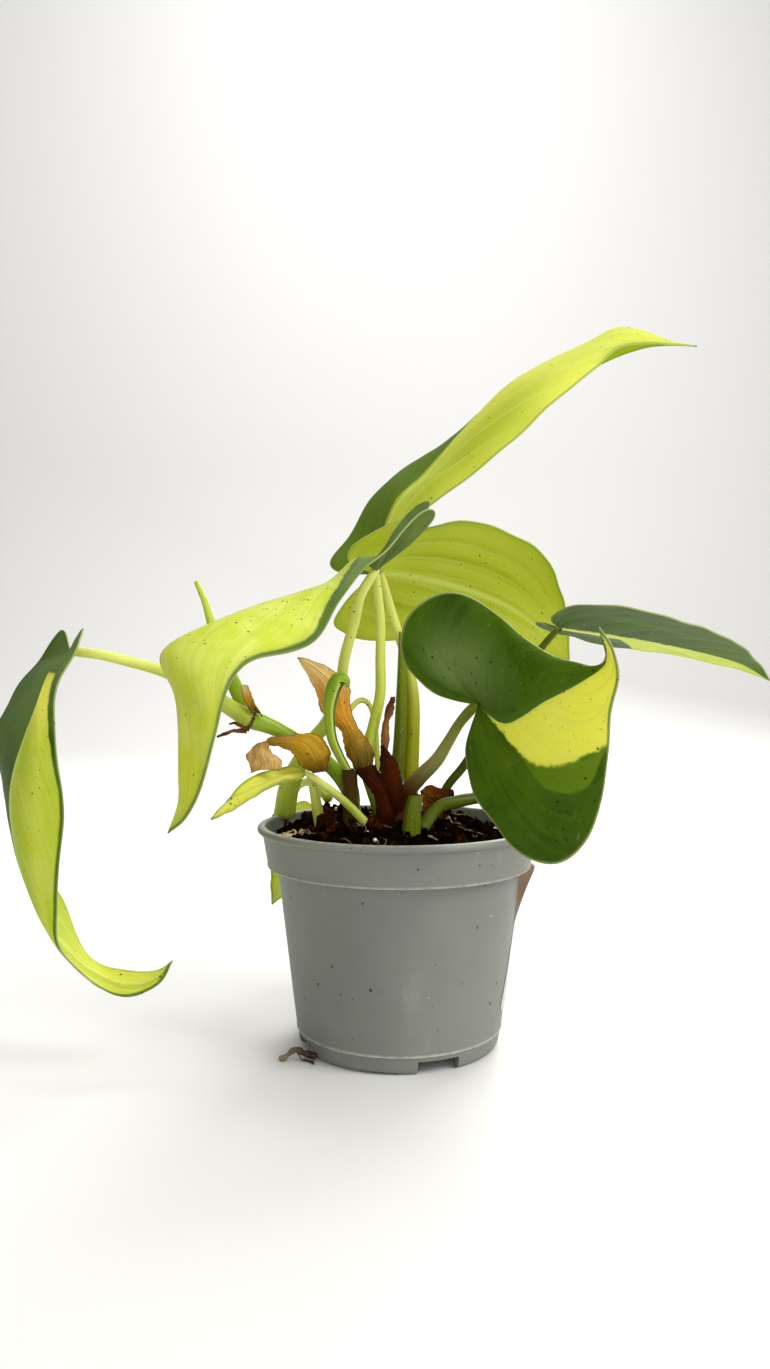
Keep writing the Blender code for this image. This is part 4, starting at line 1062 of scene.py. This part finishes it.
def sheet(name, left, right, bulge, look, crumple):
    """A dry papery sheath between two edge lines: bowed by `bulge`, crumpled and a little torn."""
    ribs, cross = 64, 26
    sides = [smooth_curve(line, ribs + 1) for line in (left, right)]
    shares = np.linspace(0.0, 1.0, ribs + 1)[:, None]
    across = np.linspace(0.0, 1.0, cross + 1)[None, :]
    width = np.linalg.norm(sides[1] - sides[0], axis=1)[:, None]
    bow = (4 * across * (1 - across) * width / width.max())[:, :, None] * np.array(bulge, float)
    grid = sides[0][:, None] + (sides[1] - sides[0])[:, None] * across[:, :, None] + bow
    normal = np.cross(np.gradient(grid, axis=0), np.gradient(grid, axis=1))
    normal /= np.maximum(np.linalg.norm(normal, axis=2, keepdims=True), 1e-6)
    length = np.linalg.norm(np.diff(sides[0], axis=0), axis=1).sum()
    data = {key: [] for key in ("vein", "across", "green_edge")}
    vertices = []
    for i in range(ribs + 1):
        for j in range(cross + 1):
            point = grid[i, j]
            fold = noise.fractal(Vector(point * 0.16), 0.7, 2.0, 4)
            ridge = 0.06 * math.sin(across[0, j] * 31.0 + 3.0 * fold)
            tear = 0.35 * noise.noise(Vector(point * 0.9)) * (abs(2 * across[0, j] - 1.0) ** 6)
            along = (sides[1][i] - sides[0][i]) / max(width[i, 0], 1e-6)
            vertices.append(point + normal[i, j] * (crumple * fold + ridge) + along * tear)
            data["vein"].append(shares[i, 0])
            data["across"].append(across[0, j])
            data["green_edge"].append(min(across[0, j] * width[i, 0], (1 - across[0, j]) * width[i, 0],
                                          (1 - shares[i, 0]) * length, shares[i, 0] * length + 0.5))
    obj = make_object(name, vertices, grid_faces(ribs + 1, cross + 1), [look], None, data)
    thicken(obj, PAPER)
    return obj


SHEETS = [
    ("husk_tall", "husk_brown", HUSK_TAN, (-0.5, -3.0, -0.5), 0.45,
     [(-32, -5, 121.3), (-30.8, -5, 118.9), (-28.5, -5, 114.8), (-26.3, -4.5, 110.4), (-24.5, -4, 105),
      (-21.3, -4, 101.3), (-18.5, -5, 98.5), (-17.5, -5.5, 94.7), (-15.9, -6, 90.5), (-14.0, -6, 86.6)],
     [(-31.6, -5.5, 121.5), (-29.4, -6, 121.3), (-26.3, -6.5, 120.2), (-23.2, -7, 118.9),
      (-19.5, -7, 116.6), (-15.6, -7, 112.6), (-15.3, -7, 107.1), (-14.2, -6.5, 102.5), (-12.3, -6, 98.8),
      (-9.7, -6, 95.2), (-7.8, -6, 91.5), (-8.6, -6, 87.0)]),
    ("husk_low", "husk_brown", HUSK_LOW, (0.0, -3.2, 0.4), 0.45,
     [(-40, -17, 96.8), (-35.6, -16.5, 97.4), (-32.2, -16, 97.7), (-28.3, -15, 98.3), (-25.7, -14.5, 98.0),
      (-23.1, -14, 95.9), (-21.2, -14, 93.0), (-21.4, -14, 90.5), (-22.3, -14, 86.6)],
     [(-40, -17, 94.9), (-36.5, -17, 94.3), (-33.5, -17, 93.2), (-31.3, -16.5, 91.1), (-30.0, -16, 88.6),
      (-28.2, -15.5, 87.4), (-26.0, -15, 86.4)]),
    ("husk_stem", "husk_red", HUSK_BROWN, (0.0, -1.2, 0.0), 0.25,
     [(-2.3, -5, 109), (-4.2, -5.2, 105), (-5.0, -5.5, 101.8), (-5.7, -6, 96), (-5.6, -6.5, 90)],
     [(-1.6, -5, 109.2), (-1.7, -5, 104.4), (-3.2, -5.5, 100.8), (-3.0, -5.5, 95.6), (-4.2, -6.3, 90)]),
    ("husk_red_point", "husk_red", HUSK_RED, (0.4, -1.6, 0.0), 0.3,
     [(-5.4, -11.2, 94.4), (-5.9, -11.2, 90.8), (-6.0, -11.2, 87.2), (-5.2, -11, 83), (-4.0, -10.6, 77.5),
      (-3.2, -10, 73)],
     [(-5.1, -11.2, 94.5), (-3.2, -11.4, 92.2), (-1.1, -11.4, 89.2), (0.2, -11.2, 85.6), (1.0, -10.8, 81),
      (1.0, -10, 74)]),
    ("husk_red_base", "husk_red", HUSK_RED, (0.7, -1.6, 0.5), 0.45,
     [(-14.0, -8.9, 86.4), (-10.8, -9.6, 83.0), (-8.0, -10.0, 78.5), (-7.2, -10.0, 73), (-7.4, -9.8, 68.2)],
     [(-7.6, -9.4, 88.2), (-4.6, -10.0, 83.0), (-2.4, -10.2, 77.8), (-1.6, -10.0, 72), (-2.2, -9.6, 68)]),
    ("husk_node", "husk_brown", HUSK_TAN, (0.5, 1.0, 0.5), 0.35,
     [(-48.2, -17, 112.9), (-47.4, -17.4, 109.4), (-46.2, -18, 107), (-44.7, -18, 104.6)],
     [(-45.8, -17.5, 112.7), (-44.6, -17.6, 109.9), (-43.4, -17.8, 107), (-41.3, -17.4, 103.2)]),
    ("husk_right", "husk_red", HUSK_RUST, (0.0, -1.4, 0.6), 0.8,
     [(7.0, -2.6, 79.0), (9.8, -3.2, 81.0), (13.4, -3.0, 79.8), (17.2, -2, 79.4)],
     [(7.6, -3.2, 70.8), (11.0, -3.6, 71.0), (14.0, -3.4, 72.2), (17.6, -2.4, 74.6)]),
    ("husk_curl", "husk_brown", HUSK_PALE, (0.6, -2.4, 0.8), 0.9,
     [(-39.8, -17, 96.4), (-41.5, -17, 95.4), (-43.6, -16.8, 94.2), (-46.1, -16.6, 92.2),
      (-45.9, -17.2, 89.2), (-45.3, -18.5, 86.6)],
     [(-39.8, -17.2, 95.0), (-39.6, -17.6, 93.8), (-38.4, -18.2, 92), (-36.4, -19, 90.2),
      (-35.6, -19.4, 88.4), (-36.4, -19.6, 87.4)]),
    ("husk_spike_a", "husk_brown", HUSK_BROWN, (0.0, -0.5, 0.0), 0.15,
     [(-51.8, -15.5, 101.3), (-49.9, -15.5, 101.9), (-47.8, -15.7, 101.2), (-45.4, -16, 100.6)],
     [(-51.9, -15.7, 100.9), (-50.0, -15.8, 101.0), (-48, -16, 99.9), (-45.6, -16.2, 98.9)]),
    ("husk_spike_b", "husk_brown", HUSK_BROWN, (0.0, -0.4, 0.0), 0.12,
     [(-55.6, -15, 97.4), (-53, -15, 98.6), (-50.5, -15.3, 99.6), (-46.2, -15.8, 99.8)],
     [(-55.5, -15.2, 96.9), (-52.8, -15.3, 97.8), (-50.4, -15.6, 98.6), (-46.4, -16, 98.4)]),
    ("husk_shred", "husk_brown", HUSK_TAN, (0.0, 0.6, 0.0), 0.3,
     [(-52.5, -10, 110.5), (-50.6, -10, 108.5), (-48.4, -10.6, 106.4), (-46, -11.5, 104.6)],
     [(-50.6, -9.6, 111.2), (-48.6, -9.6, 109.4), (-47, -10.2, 107.4), (-45, -11, 105.6)]),
]

for husk_name, husk_slot, look, bulge, crumple, left, right in SHEETS:
    husk = sheet(husk_name + "_paper", left, right, bulge, look, crumple)
    place_piece(husk, husk_slot, *[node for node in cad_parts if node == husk_name])


# The rolled leaf's last colour is painted shade inside the roll.
ROLLED_SKIN = stem_material(
    "rolled_leaf_skin", (0.30, 0.45, 0.025), (0.42, 0.54, 0.035), (0.42, 0.54, 0.040),
    0.1, 0.32, 0.20, (0.11, 0.21, 0.008))


def rolled_leaf():
    """A young leaf still rolled up, its free edge down the front and its tip nodding over at the top."""
    guide = [(-15.7, -15.9, 112.4), (-16.3, -15.7, 114.2), (-18.3, -15, 114.6), (-20.3, -14.4, 110.8),
             (-21.3, -13.6, 104.5), (-20.6, -12.8, 97), (-18.3, -11, 91), (-15.6, -7.6, 85.5),
             (-13.8, -4.4, 80), (-13.2, -3.2, 76)]
    radii = [0.4, 1.4, 2.7, 2.8, 2.15, 1.75, 1.6, 1.45, 1.3, 1.1]
    steps, turns = 110, 60
    free_edge, wound = 62.0, 520.0
    hood_steps = 16
    centre, radius, tangent = rail(guide, radii, steps)
    vertices = []
    data = {"along": [], "around": []}
    for i in range(steps):
        front = np.array((0.0, -1.0, 0.0)) + tangent[i] * tangent[i][1]
        front /= np.linalg.norm(front)
        side = np.cross(front, tangent[i])
        side = side if i < hood_steps or side[0] > 0 else -side
        for k in range(turns):
            sweep = k / (turns - 1)
            turn = math.radians(free_edge + wound * sweep)
            reach = radius[i] * (1.0 - 0.50 * sweep + 0.05 * math.sin(0.11 * i + 2.0) * (1.0 - sweep))
            vertices.append(centre[i] + reach * (math.cos(turn) * side + math.sin(turn) * front))
            data["along"].append(1.0 - i / (steps - 1))
            data["around"].append(sweep)
    obj = make_object("new_leaf_roll", vertices, grid_faces(steps, turns), [ROLLED_SKIN], None, data)
    thicken(obj, PAPER)
    return place_piece(obj, "stem_lime", "new_leaf_rolled")


rolled_leaf()

# ---------------------------------------------------------------- soil

# The soil is its own dark brown, darkened to near black with painted shade from the leaves above.
SOIL_LOOK = soil_material("soil_dark_painted_shade", (0.0016, 0.0009, 0.0004), (0.0075, 0.0038, 0.0016), 1.0)
HUSK_BITS = soil_material("husk_bits", (0.012, 0.0035, 0.001), (0.075, 0.020, 0.004), 1.8)
CHIP_LOOK = soil_material("bark_chips", (0.010, 0.0042, 0.0016), (0.045, 0.017, 0.006), 1.6)
GRANULE_LOOK = granule_material("perlite", (0.58, 0.47, 0.30), (0.80, 0.76, 0.66))
FEED_LOOK = granule_material("slow_feed", (0.36, 0.23, 0.10), (0.62, 0.46, 0.26))


def soil_height(x, y):
    """Top of the soil: flat round the crown, heaped at the back left and lower at the pot's wall."""
    from_crown = math.hypot(x + 6.0, y - 1.0)
    crown = 1.0 / (1.0 + math.exp((from_crown - 25.0) / 3.5))
    heap = 4.5 * math.exp(-((x + 24.0) ** 2 + (y - 22.0) ** 2) / 130.0)
    heap += 2.5 * math.exp(-((x - 18.0) ** 2 + (y - 24.0) ** 2) / 110.0)
    ripple = 0.5 * math.sin(0.55 * x + 1.0) * math.cos(0.5 * y) * (1.0 - crown)
    return SOIL_EDGE + (SOIL_CROWN - SOIL_EDGE) * crown + heap + ripple


def crumbly_height(x, y):
    """Top of the soil with its crumbs."""
    spot = Vector((x * 0.16, y * 0.16, 3.0))
    return soil_height(x, y) + 1.5 * noise.fractal(spot, 0.55, 2.1, 7) - 0.2


def build_soil():
    """The soil's crumbly top, with a skirt a little way down inside the pot's wall."""
    rings, segments = 90, 220
    outer = BAND_BOTTOM_RADIUS - WALL - 0.15
    vertices = [(0.0, 0.0, crumbly_height(0.0, 0.0))]
    faces = []
    for ring in range(1, rings + 1):
        for x, y in circle(outer * ring / rings, segments):
            vertices.append((x, y, crumbly_height(x, y)))
    for k in range(segments):
        faces.append((0, 1 + k, 1 + (k + 1) % segments))
    for ring in range(rings - 1):
        low = 1 + ring * segments
        for k in range(segments):
            following = (k + 1) % segments
            faces.append((low + k, low + segments + k, low + segments + following, low + following))
    last = 1 + (rings - 1) * segments
    skirt = len(vertices)
    floor_radius = BODY_TOP_RADIUS - WALL - 0.6
    for radius, height in ((outer, BAND_BOTTOM + 3.5), (floor_radius, BAND_BOTTOM)):
        vertices += [(x, y, height) for x, y in circle(radius, segments)]
    for k in range(segments):
        following = (k + 1) % segments
        faces.append((last + k, skirt + k, skirt + following, last + following))
        faces.append((skirt + k, skirt + segments + k, skirt + segments + following, skirt + following))
    return place_piece(make_object("soil_surface", vertices, faces, [SOIL_LOOK]), "potting_soil", "soil")


def lump(centre, size, spread, spikiness):
    """Vertices and faces of one irregular crumb."""
    ball = bmesh.new()
    bmesh.ops.create_icosphere(ball, subdivisions=2, radius=1.0)
    axes = np.linalg.qr(rng.normal(size=(3, 3)))[0]
    stretch = size * rng.uniform(1.0 - spread, 1.0 + spread, 3)
    offset = Vector(rng.uniform(-50, 50, 3))
    points = []
    for vertex in ball.verts:
        push = 1.0 + spikiness * noise.noise(vertex.co * 1.7 + offset)
        points.append(np.array(centre) + (np.array(vertex.co) * stretch * push) @ axes)
    faces = [[v.index for v in face.verts] for face in ball.faces]
    ball.free()
    return points, faces


def scatter(name, count, size, spread, spikiness, look, slot, where, sink=0.3):
    """Joins `count` crumbs into one piece, each lying on the soil at a place that `where` picks."""
    vertices, faces = [], []
    for _ in range(count):
        x, y = where()
        grain = size * rng.uniform(0.55, 1.5)
        height = crumbly_height(x, y) + grain * sink
        points, sides = lump((x, y, height), grain, spread, spikiness)
        faces += [[len(vertices) + i for i in side] for side in sides]
        vertices += points
    return place_piece(make_object(name, vertices, faces, [look], smooth=False), slot)


def anywhere(limit=SOIL_REACH):
    """Picks places evenly over the soil."""
    def pick():
        radius = limit * math.sqrt(rng.uniform(0.0, 1.0))
        turn = rng.uniform(0.0, 2 * math.pi)
        return radius * math.cos(turn), radius * math.sin(turn)
    return pick


def close_to(x, y, spread):
    """Picks places crowded round one spot."""
    def pick():
        while True:
            a, b = rng.normal(x, spread), rng.normal(y, spread)
            if math.hypot(a, b) < SOIL_REACH:
                return a, b
    return pick


build_soil()
scatter("soil_crumbs", 420, 0.85, 0.45, 0.9, SOIL_LOOK, "potting_soil", anywhere())
scatter("bark_bits", 150, 1.15, 0.6, 0.8, CHIP_LOOK, "potting_soil", anywhere())
scatter("perlite_grains", 30, 0.42, 0.3, 0.6, GRANULE_LOOK, "potting_soil", anywhere(39.0), 0.5)
scatter("tan_granules", 22, 0.72, 0.3, 0.5, FEED_LOOK, "potting_soil", close_to(-33.5, -11.0, 2.0), 0.8)
scatter("crown_debris", 46, 1.25, 0.6, 0.9, HUSK_BITS, "husk_brown", close_to(-17.0, -4.0, 6.5), 0.5)


def root_fibres(count):
    """Fine dry roots lying in curls on the soil."""
    step = 1.9
    fibre_look = stem_material("fine_root_skin", (0.24, 0.15, 0.07), (0.18, 0.10, 0.045), (0.12, 0.06, 0.03),
                               0.3, 0.0)
    for index in range(count):
        x, y = anywhere(34.0)()
        heading = rng.uniform(0.0, 2 * math.pi)
        points = []
        for _ in range(7):
            if math.hypot(x, y) > SOIL_REACH:
                break
            points.append((x, y, crumbly_height(x, y) + rng.uniform(0.25, 1.3)))
            heading += rng.normal(0.0, 0.8)
            x += step * math.cos(heading)
            y += step * math.sin(heading)
        if len(points) < 3:
            continue
        thick = rng.uniform(0.12, 0.24)
        fibre = tube(f"root_fibre_{index}", points, [thick] * len(points), fibre_look, 7, 24)
        place_piece(fibre, "root_brown")


root_fibres(22)

# ---------------------------------------------------------------- pot

POT_LOOK = plastic_material()


def turned(profile, segments):
    """A closed outline of (radius, height) turned about the pot's axis."""
    vertices = []
    for k in range(segments):
        turn = 2 * math.pi * k / segments
        for radius, height in profile:
            vertices.append((radius * math.cos(turn), radius * math.sin(turn), height))
    return vertices, hoop_faces(segments, len(profile))


def rounded(corners, passes=2, cut=0.22, longest=0.35):
    """Rounds an outline's corners by trimming each one, by at most `longest` mm along its edges."""
    points = [np.array(c, float) for c in corners]
    for _ in range(passes):
        made = []
        for before, here, after in zip([points[-1]] + points[:-1], points, points[1:] + [points[0]]):
            for other in (before, after):
                reach = min(cut * np.linalg.norm(other - here), longest)
                direction = (other - here) / max(np.linalg.norm(other - here), 1e-9)
                made.append(here + direction * reach)
        points = made
    return [tuple(p) for p in points]


def build_pot():
    """The shelled pot: rounded lip, rim band and foot, with notches in the foot and holes in the floor."""
    floor_top = FLOOR_LOW + FLOOR_THICKNESS
    shoulder = BAND_BOTTOM + 0.8 * WALL
    outline = [
        (RIM_RADIUS - 2.6, POT_HEIGHT - 0.3), (RIM_RADIUS - 1.6, POT_HEIGHT),
        (RIM_RADIUS - 0.5, POT_HEIGHT - 0.3), (RIM_RADIUS, POT_HEIGHT - 1.3),
        (RIM_RADIUS - 0.4, POT_HEIGHT - LIP_HEIGHT + 0.4), (BAND_TOP_RADIUS, POT_HEIGHT - LIP_HEIGHT),
        (BAND_BOTTOM_RADIUS + 0.1, BAND_BOTTOM + 0.9), (BAND_BOTTOM_RADIUS + 0.25, BAND_BOTTOM + 0.55),
        (BAND_BOTTOM_RADIUS + 0.1, BAND_BOTTOM), (BODY_TOP_RADIUS, BAND_BOTTOM - 0.1),
        (FOOT_LINE_RADIUS, FOOT_LINE_HEIGHT + 0.1), (FOOT_LINE_RADIUS + 0.2, FOOT_LINE_HEIGHT - 0.1),
        (FOOT_LINE_RADIUS - 0.3, FOOT_LINE_HEIGHT - 0.5), (FOOT_RADIUS, 1.2), (FOOT_RADIUS - 0.9, 0.0),
        (FOOT_RADIUS - 2.4, 0.0), (FOOT_RADIUS - 2.0, FLOOR_LOW), (0.01, FLOOR_LOW), (0.01, floor_top),
        (FOOT_LINE_RADIUS - WALL - 0.6, floor_top), (BODY_TOP_RADIUS - WALL, shoulder),
        (BAND_BOTTOM_RADIUS - WALL, shoulder + 0.8), (BAND_TOP_RADIUS - WALL, POT_HEIGHT - LIP_HEIGHT),
    ]
    vertices, faces = turned(rounded(outline), 180)
    pot = make_object("pot_body", vertices, faces, [POT_LOOK])
    cutters = []
    for i in range(4):
        for start, width, height in ((NOTCH_ANGLE, NOTCH_WIDTH, NOTCH_HEIGHT),
                                     (SHALLOW_ANGLE, SHALLOW_WIDTH, SHALLOW_HEIGHT)):
            turn = math.radians(start + 90.0 * i)
            bpy.ops.mesh.primitive_cube_add(size=1.0)
            box = bpy.context.active_object
            box.dimensions = Vector((10.0, width, 2 * height)) * MM
            box.location = (Vector((FOOT_RADIUS * math.cos(turn), FOOT_RADIUS * math.sin(turn), 0.0))
                            + Vector(SHIFT)) * MM
            box.rotation_euler = (0, 0, turn)
            bevel = box.modifiers.new("Round", "BEVEL")
            bevel.width = 1.1 * MM if height > 2 else 0.3 * MM
            bevel.segments = 3
            cutters.append(box)
    hole_turns = [math.radians(NOTCH_ANGLE + 45 + 90 * i) for i in range(4)]
    holes = [(HOLE_RING * math.cos(turn), HOLE_RING * math.sin(turn)) for turn in hole_turns] + [(0.0, 0.0)]
    for x, y in holes:
        bpy.ops.mesh.primitive_cylinder_add(vertices=48, radius=HOLE_RADIUS * MM, depth=8 * MM)
        rod = bpy.context.active_object
        rod.location = (Vector((x, y, FLOOR_LOW + 0.5)) + Vector(SHIFT)) * MM
        cutters.append(rod)
    for cutter in cutters:
        boolean = pot.modifiers.new("Cut", "BOOLEAN")
        boolean.operation = "DIFFERENCE"
        boolean.solver = "EXACT"
        boolean.object = cutter
    bpy.context.view_layer.update()
    cut_mesh = bpy.data.meshes.new_from_object(pot.evaluated_get(bpy.context.evaluated_depsgraph_get()))
    pot.modifiers.clear()
    pot.data = cut_mesh
    for cutter in cutters:
        bpy.data.objects.remove(cutter)
    wear = cut_mesh.attributes.new("edge_wear", "FLOAT", "POINT")
    values = []
    for vertex in cut_mesh.vertices:
        height = vertex.co.z / MM
        radius = math.hypot(vertex.co.x / MM - SHIFT[0], vertex.co.y / MM - SHIFT[1])
        near = min(abs(height - BAND_BOTTOM - 0.25) if radius > 41.5 else 9, abs(height - POT_HEIGHT),
                   0.8 * abs(height - FOOT_LINE_HEIGHT) if radius > 32.3 else 9, height + 0.35)
        values.append(max(0.0, 1.0 - near / 0.6))
    wear.data.foreach_set("value", values)
    for polygon in cut_mesh.polygons:
        polygon.use_smooth = True
    cut_mesh.set_sharp_from_angle(angle=math.radians(38.0))
    return place_piece(pot, "pot_plastic", "pot")


build_pot()


def body_radius(height):
    """The pot's outside radius below its rim band."""
    share = (height - FOOT_LINE_HEIGHT) / (BAND_BOTTOM - FOOT_LINE_HEIGHT)
    return FOOT_LINE_RADIUS + share * (BODY_TOP_RADIUS - FOOT_LINE_RADIUS)


def build_label():
    """The sticker round the pot, its corners rounded and its upper front corner peeling away."""
    rows, columns = 70, 80
    vertices, heights = [], []
    for i in range(rows + 1):
        share = i / rows
        height = LABEL_LOW + share * (LABEL_TOP - LABEL_LOW)
        flare = max(0.0, (height - LABEL_FLARE) / (LABEL_TOP - LABEL_FLARE))
        near_end = min(share, 1.0 - share) * (LABEL_TOP - LABEL_LOW)
        for j in range(columns + 1):
            across = j / columns
            inset = max(0.0, LABEL_CORNER - near_end)
            corner = LABEL_CORNER - math.sqrt(max(0.0, LABEL_CORNER**2 - inset**2))
            start = LABEL_START + LABEL_LEAN * min(1.0, share / 0.6)
            angle = start + across * (LABEL_END - start) + corner * 1.5 * (1.0 - 2.0 * across)
            peel = LABEL_PEEL * flare**1.3 * math.exp(-((across / 0.45) ** 2))
            ripple = 0.12 * math.sin(across * 23.0 + height * 0.35) * (0.3 + flare)
            radius = body_radius(height) + LABEL_GAP + peel + ripple * 0.5
            turn = math.radians(angle)
            vertices.append((radius * math.cos(turn), radius * math.sin(turn), height))
            heights.append(height)
    obj = make_object("label_strip", vertices, grid_faces(rows + 1, columns + 1), [label_material()], None,
                      {"height": heights})
    thicken(obj, LABEL_THICKNESS)
    return place_piece(obj, "label_paper", "plant_label")


build_label()

# ---------------------------------------------------------------- floor, light and camera


def stage_material(name, colour, roughness):
    """A plain surface with a trace of cloudiness."""
    n = Nodes(name)
    place = n.place()
    shade = n.mix(n.noise(place, 0.004, 3.0) * 0.06, colour, scaled(colour, 0.9))
    return n.finish(shade, roughness)


def build_floor():
    """A pale floor that curves up into a plain backdrop."""
    vertices, faces = [], []
    outline = [(-1.4, 0.0), (1.1, 0.0)]
    outline += [(1.1 + 0.5 * math.sin(a), 0.5 - 0.5 * math.cos(a)) for a in np.linspace(0.1, math.pi / 2, 14)]
    outline += [(1.6, 2.6)]
    for y, z in outline:
        vertices += [(-2.2, y, z), (2.2, y, z)]
    for i in range(len(outline) - 1):
        faces.append((2 * i, 2 * i + 1, 2 * i + 3, 2 * i + 2))
    mesh = bpy.data.meshes.new("floor")
    mesh.from_pydata(vertices, [], faces)
    for polygon in mesh.polygons:
        polygon.use_smooth = True
    mesh.materials.append(stage_material("floor_white", (0.66, 0.655, 0.64), 0.5))
    add_to_scene("floor", mesh)


def add_light(name, place, aim, size, power, colour=(1.0, 1.0, 1.0)):
    """A square area light `size` metres wide at `place`, turned to `aim`."""
    lamp = bpy.data.lights.new(name, "AREA")
    lamp.size = size
    lamp.energy = power
    lamp.color = colour
    obj = add_to_scene(name, lamp)
    obj.location = place
    obj.rotation_euler = (Vector(aim) - Vector(place)).to_track_quat("-Z", "Y").to_euler()


build_floor()
add_light("window_right", (0.85, -0.45, 0.85), (0.0, 0.0, 0.1), 0.55, 12.5, (1.0, 0.985, 0.96))
add_light("window_back", (0.45, 0.95, 0.75), (0.0, 0.0, 0.14), 0.7, 13.0, (1.0, 0.99, 0.97))
add_light("sky_top", (0.1, -0.1, 1.5), (0.0, 0.0, 0.1), 1.2, 11.0)
add_light("fill_front", (0.1, -1.4, 0.35), (0.0, 0.0, 0.1), 1.0, 8.0)
add_light("backdrop_wash", (0.0, 0.7, 1.6), (0.0, 1.6, 0.7), 1.0, 11.5)

world = bpy.data.worlds.new("soft_white")
world.use_nodes = True
background = world.node_tree.nodes["Background"].inputs
background["Color"].default_value = (1.0, 0.995, 0.98, 1.0)
background["Strength"].default_value = 0.40
bpy.context.scene.world = world
bpy.context.scene.view_settings.view_transform = "Standard"

camera_data = bpy.data.cameras.new("camera")
camera_data.sensor_width = 36.0
camera_data.lens = CAMERA_LENS
camera_data.clip_start = 0.01
camera = add_to_scene("camera", camera_data)
camera.location = Vector(SHIFT + CAMERA_PLACE) * MM
camera.rotation_euler = (math.radians(90.0 - CAMERA_DOWN), 0.0, 0.0)
bpy.context.scene.camera = camera
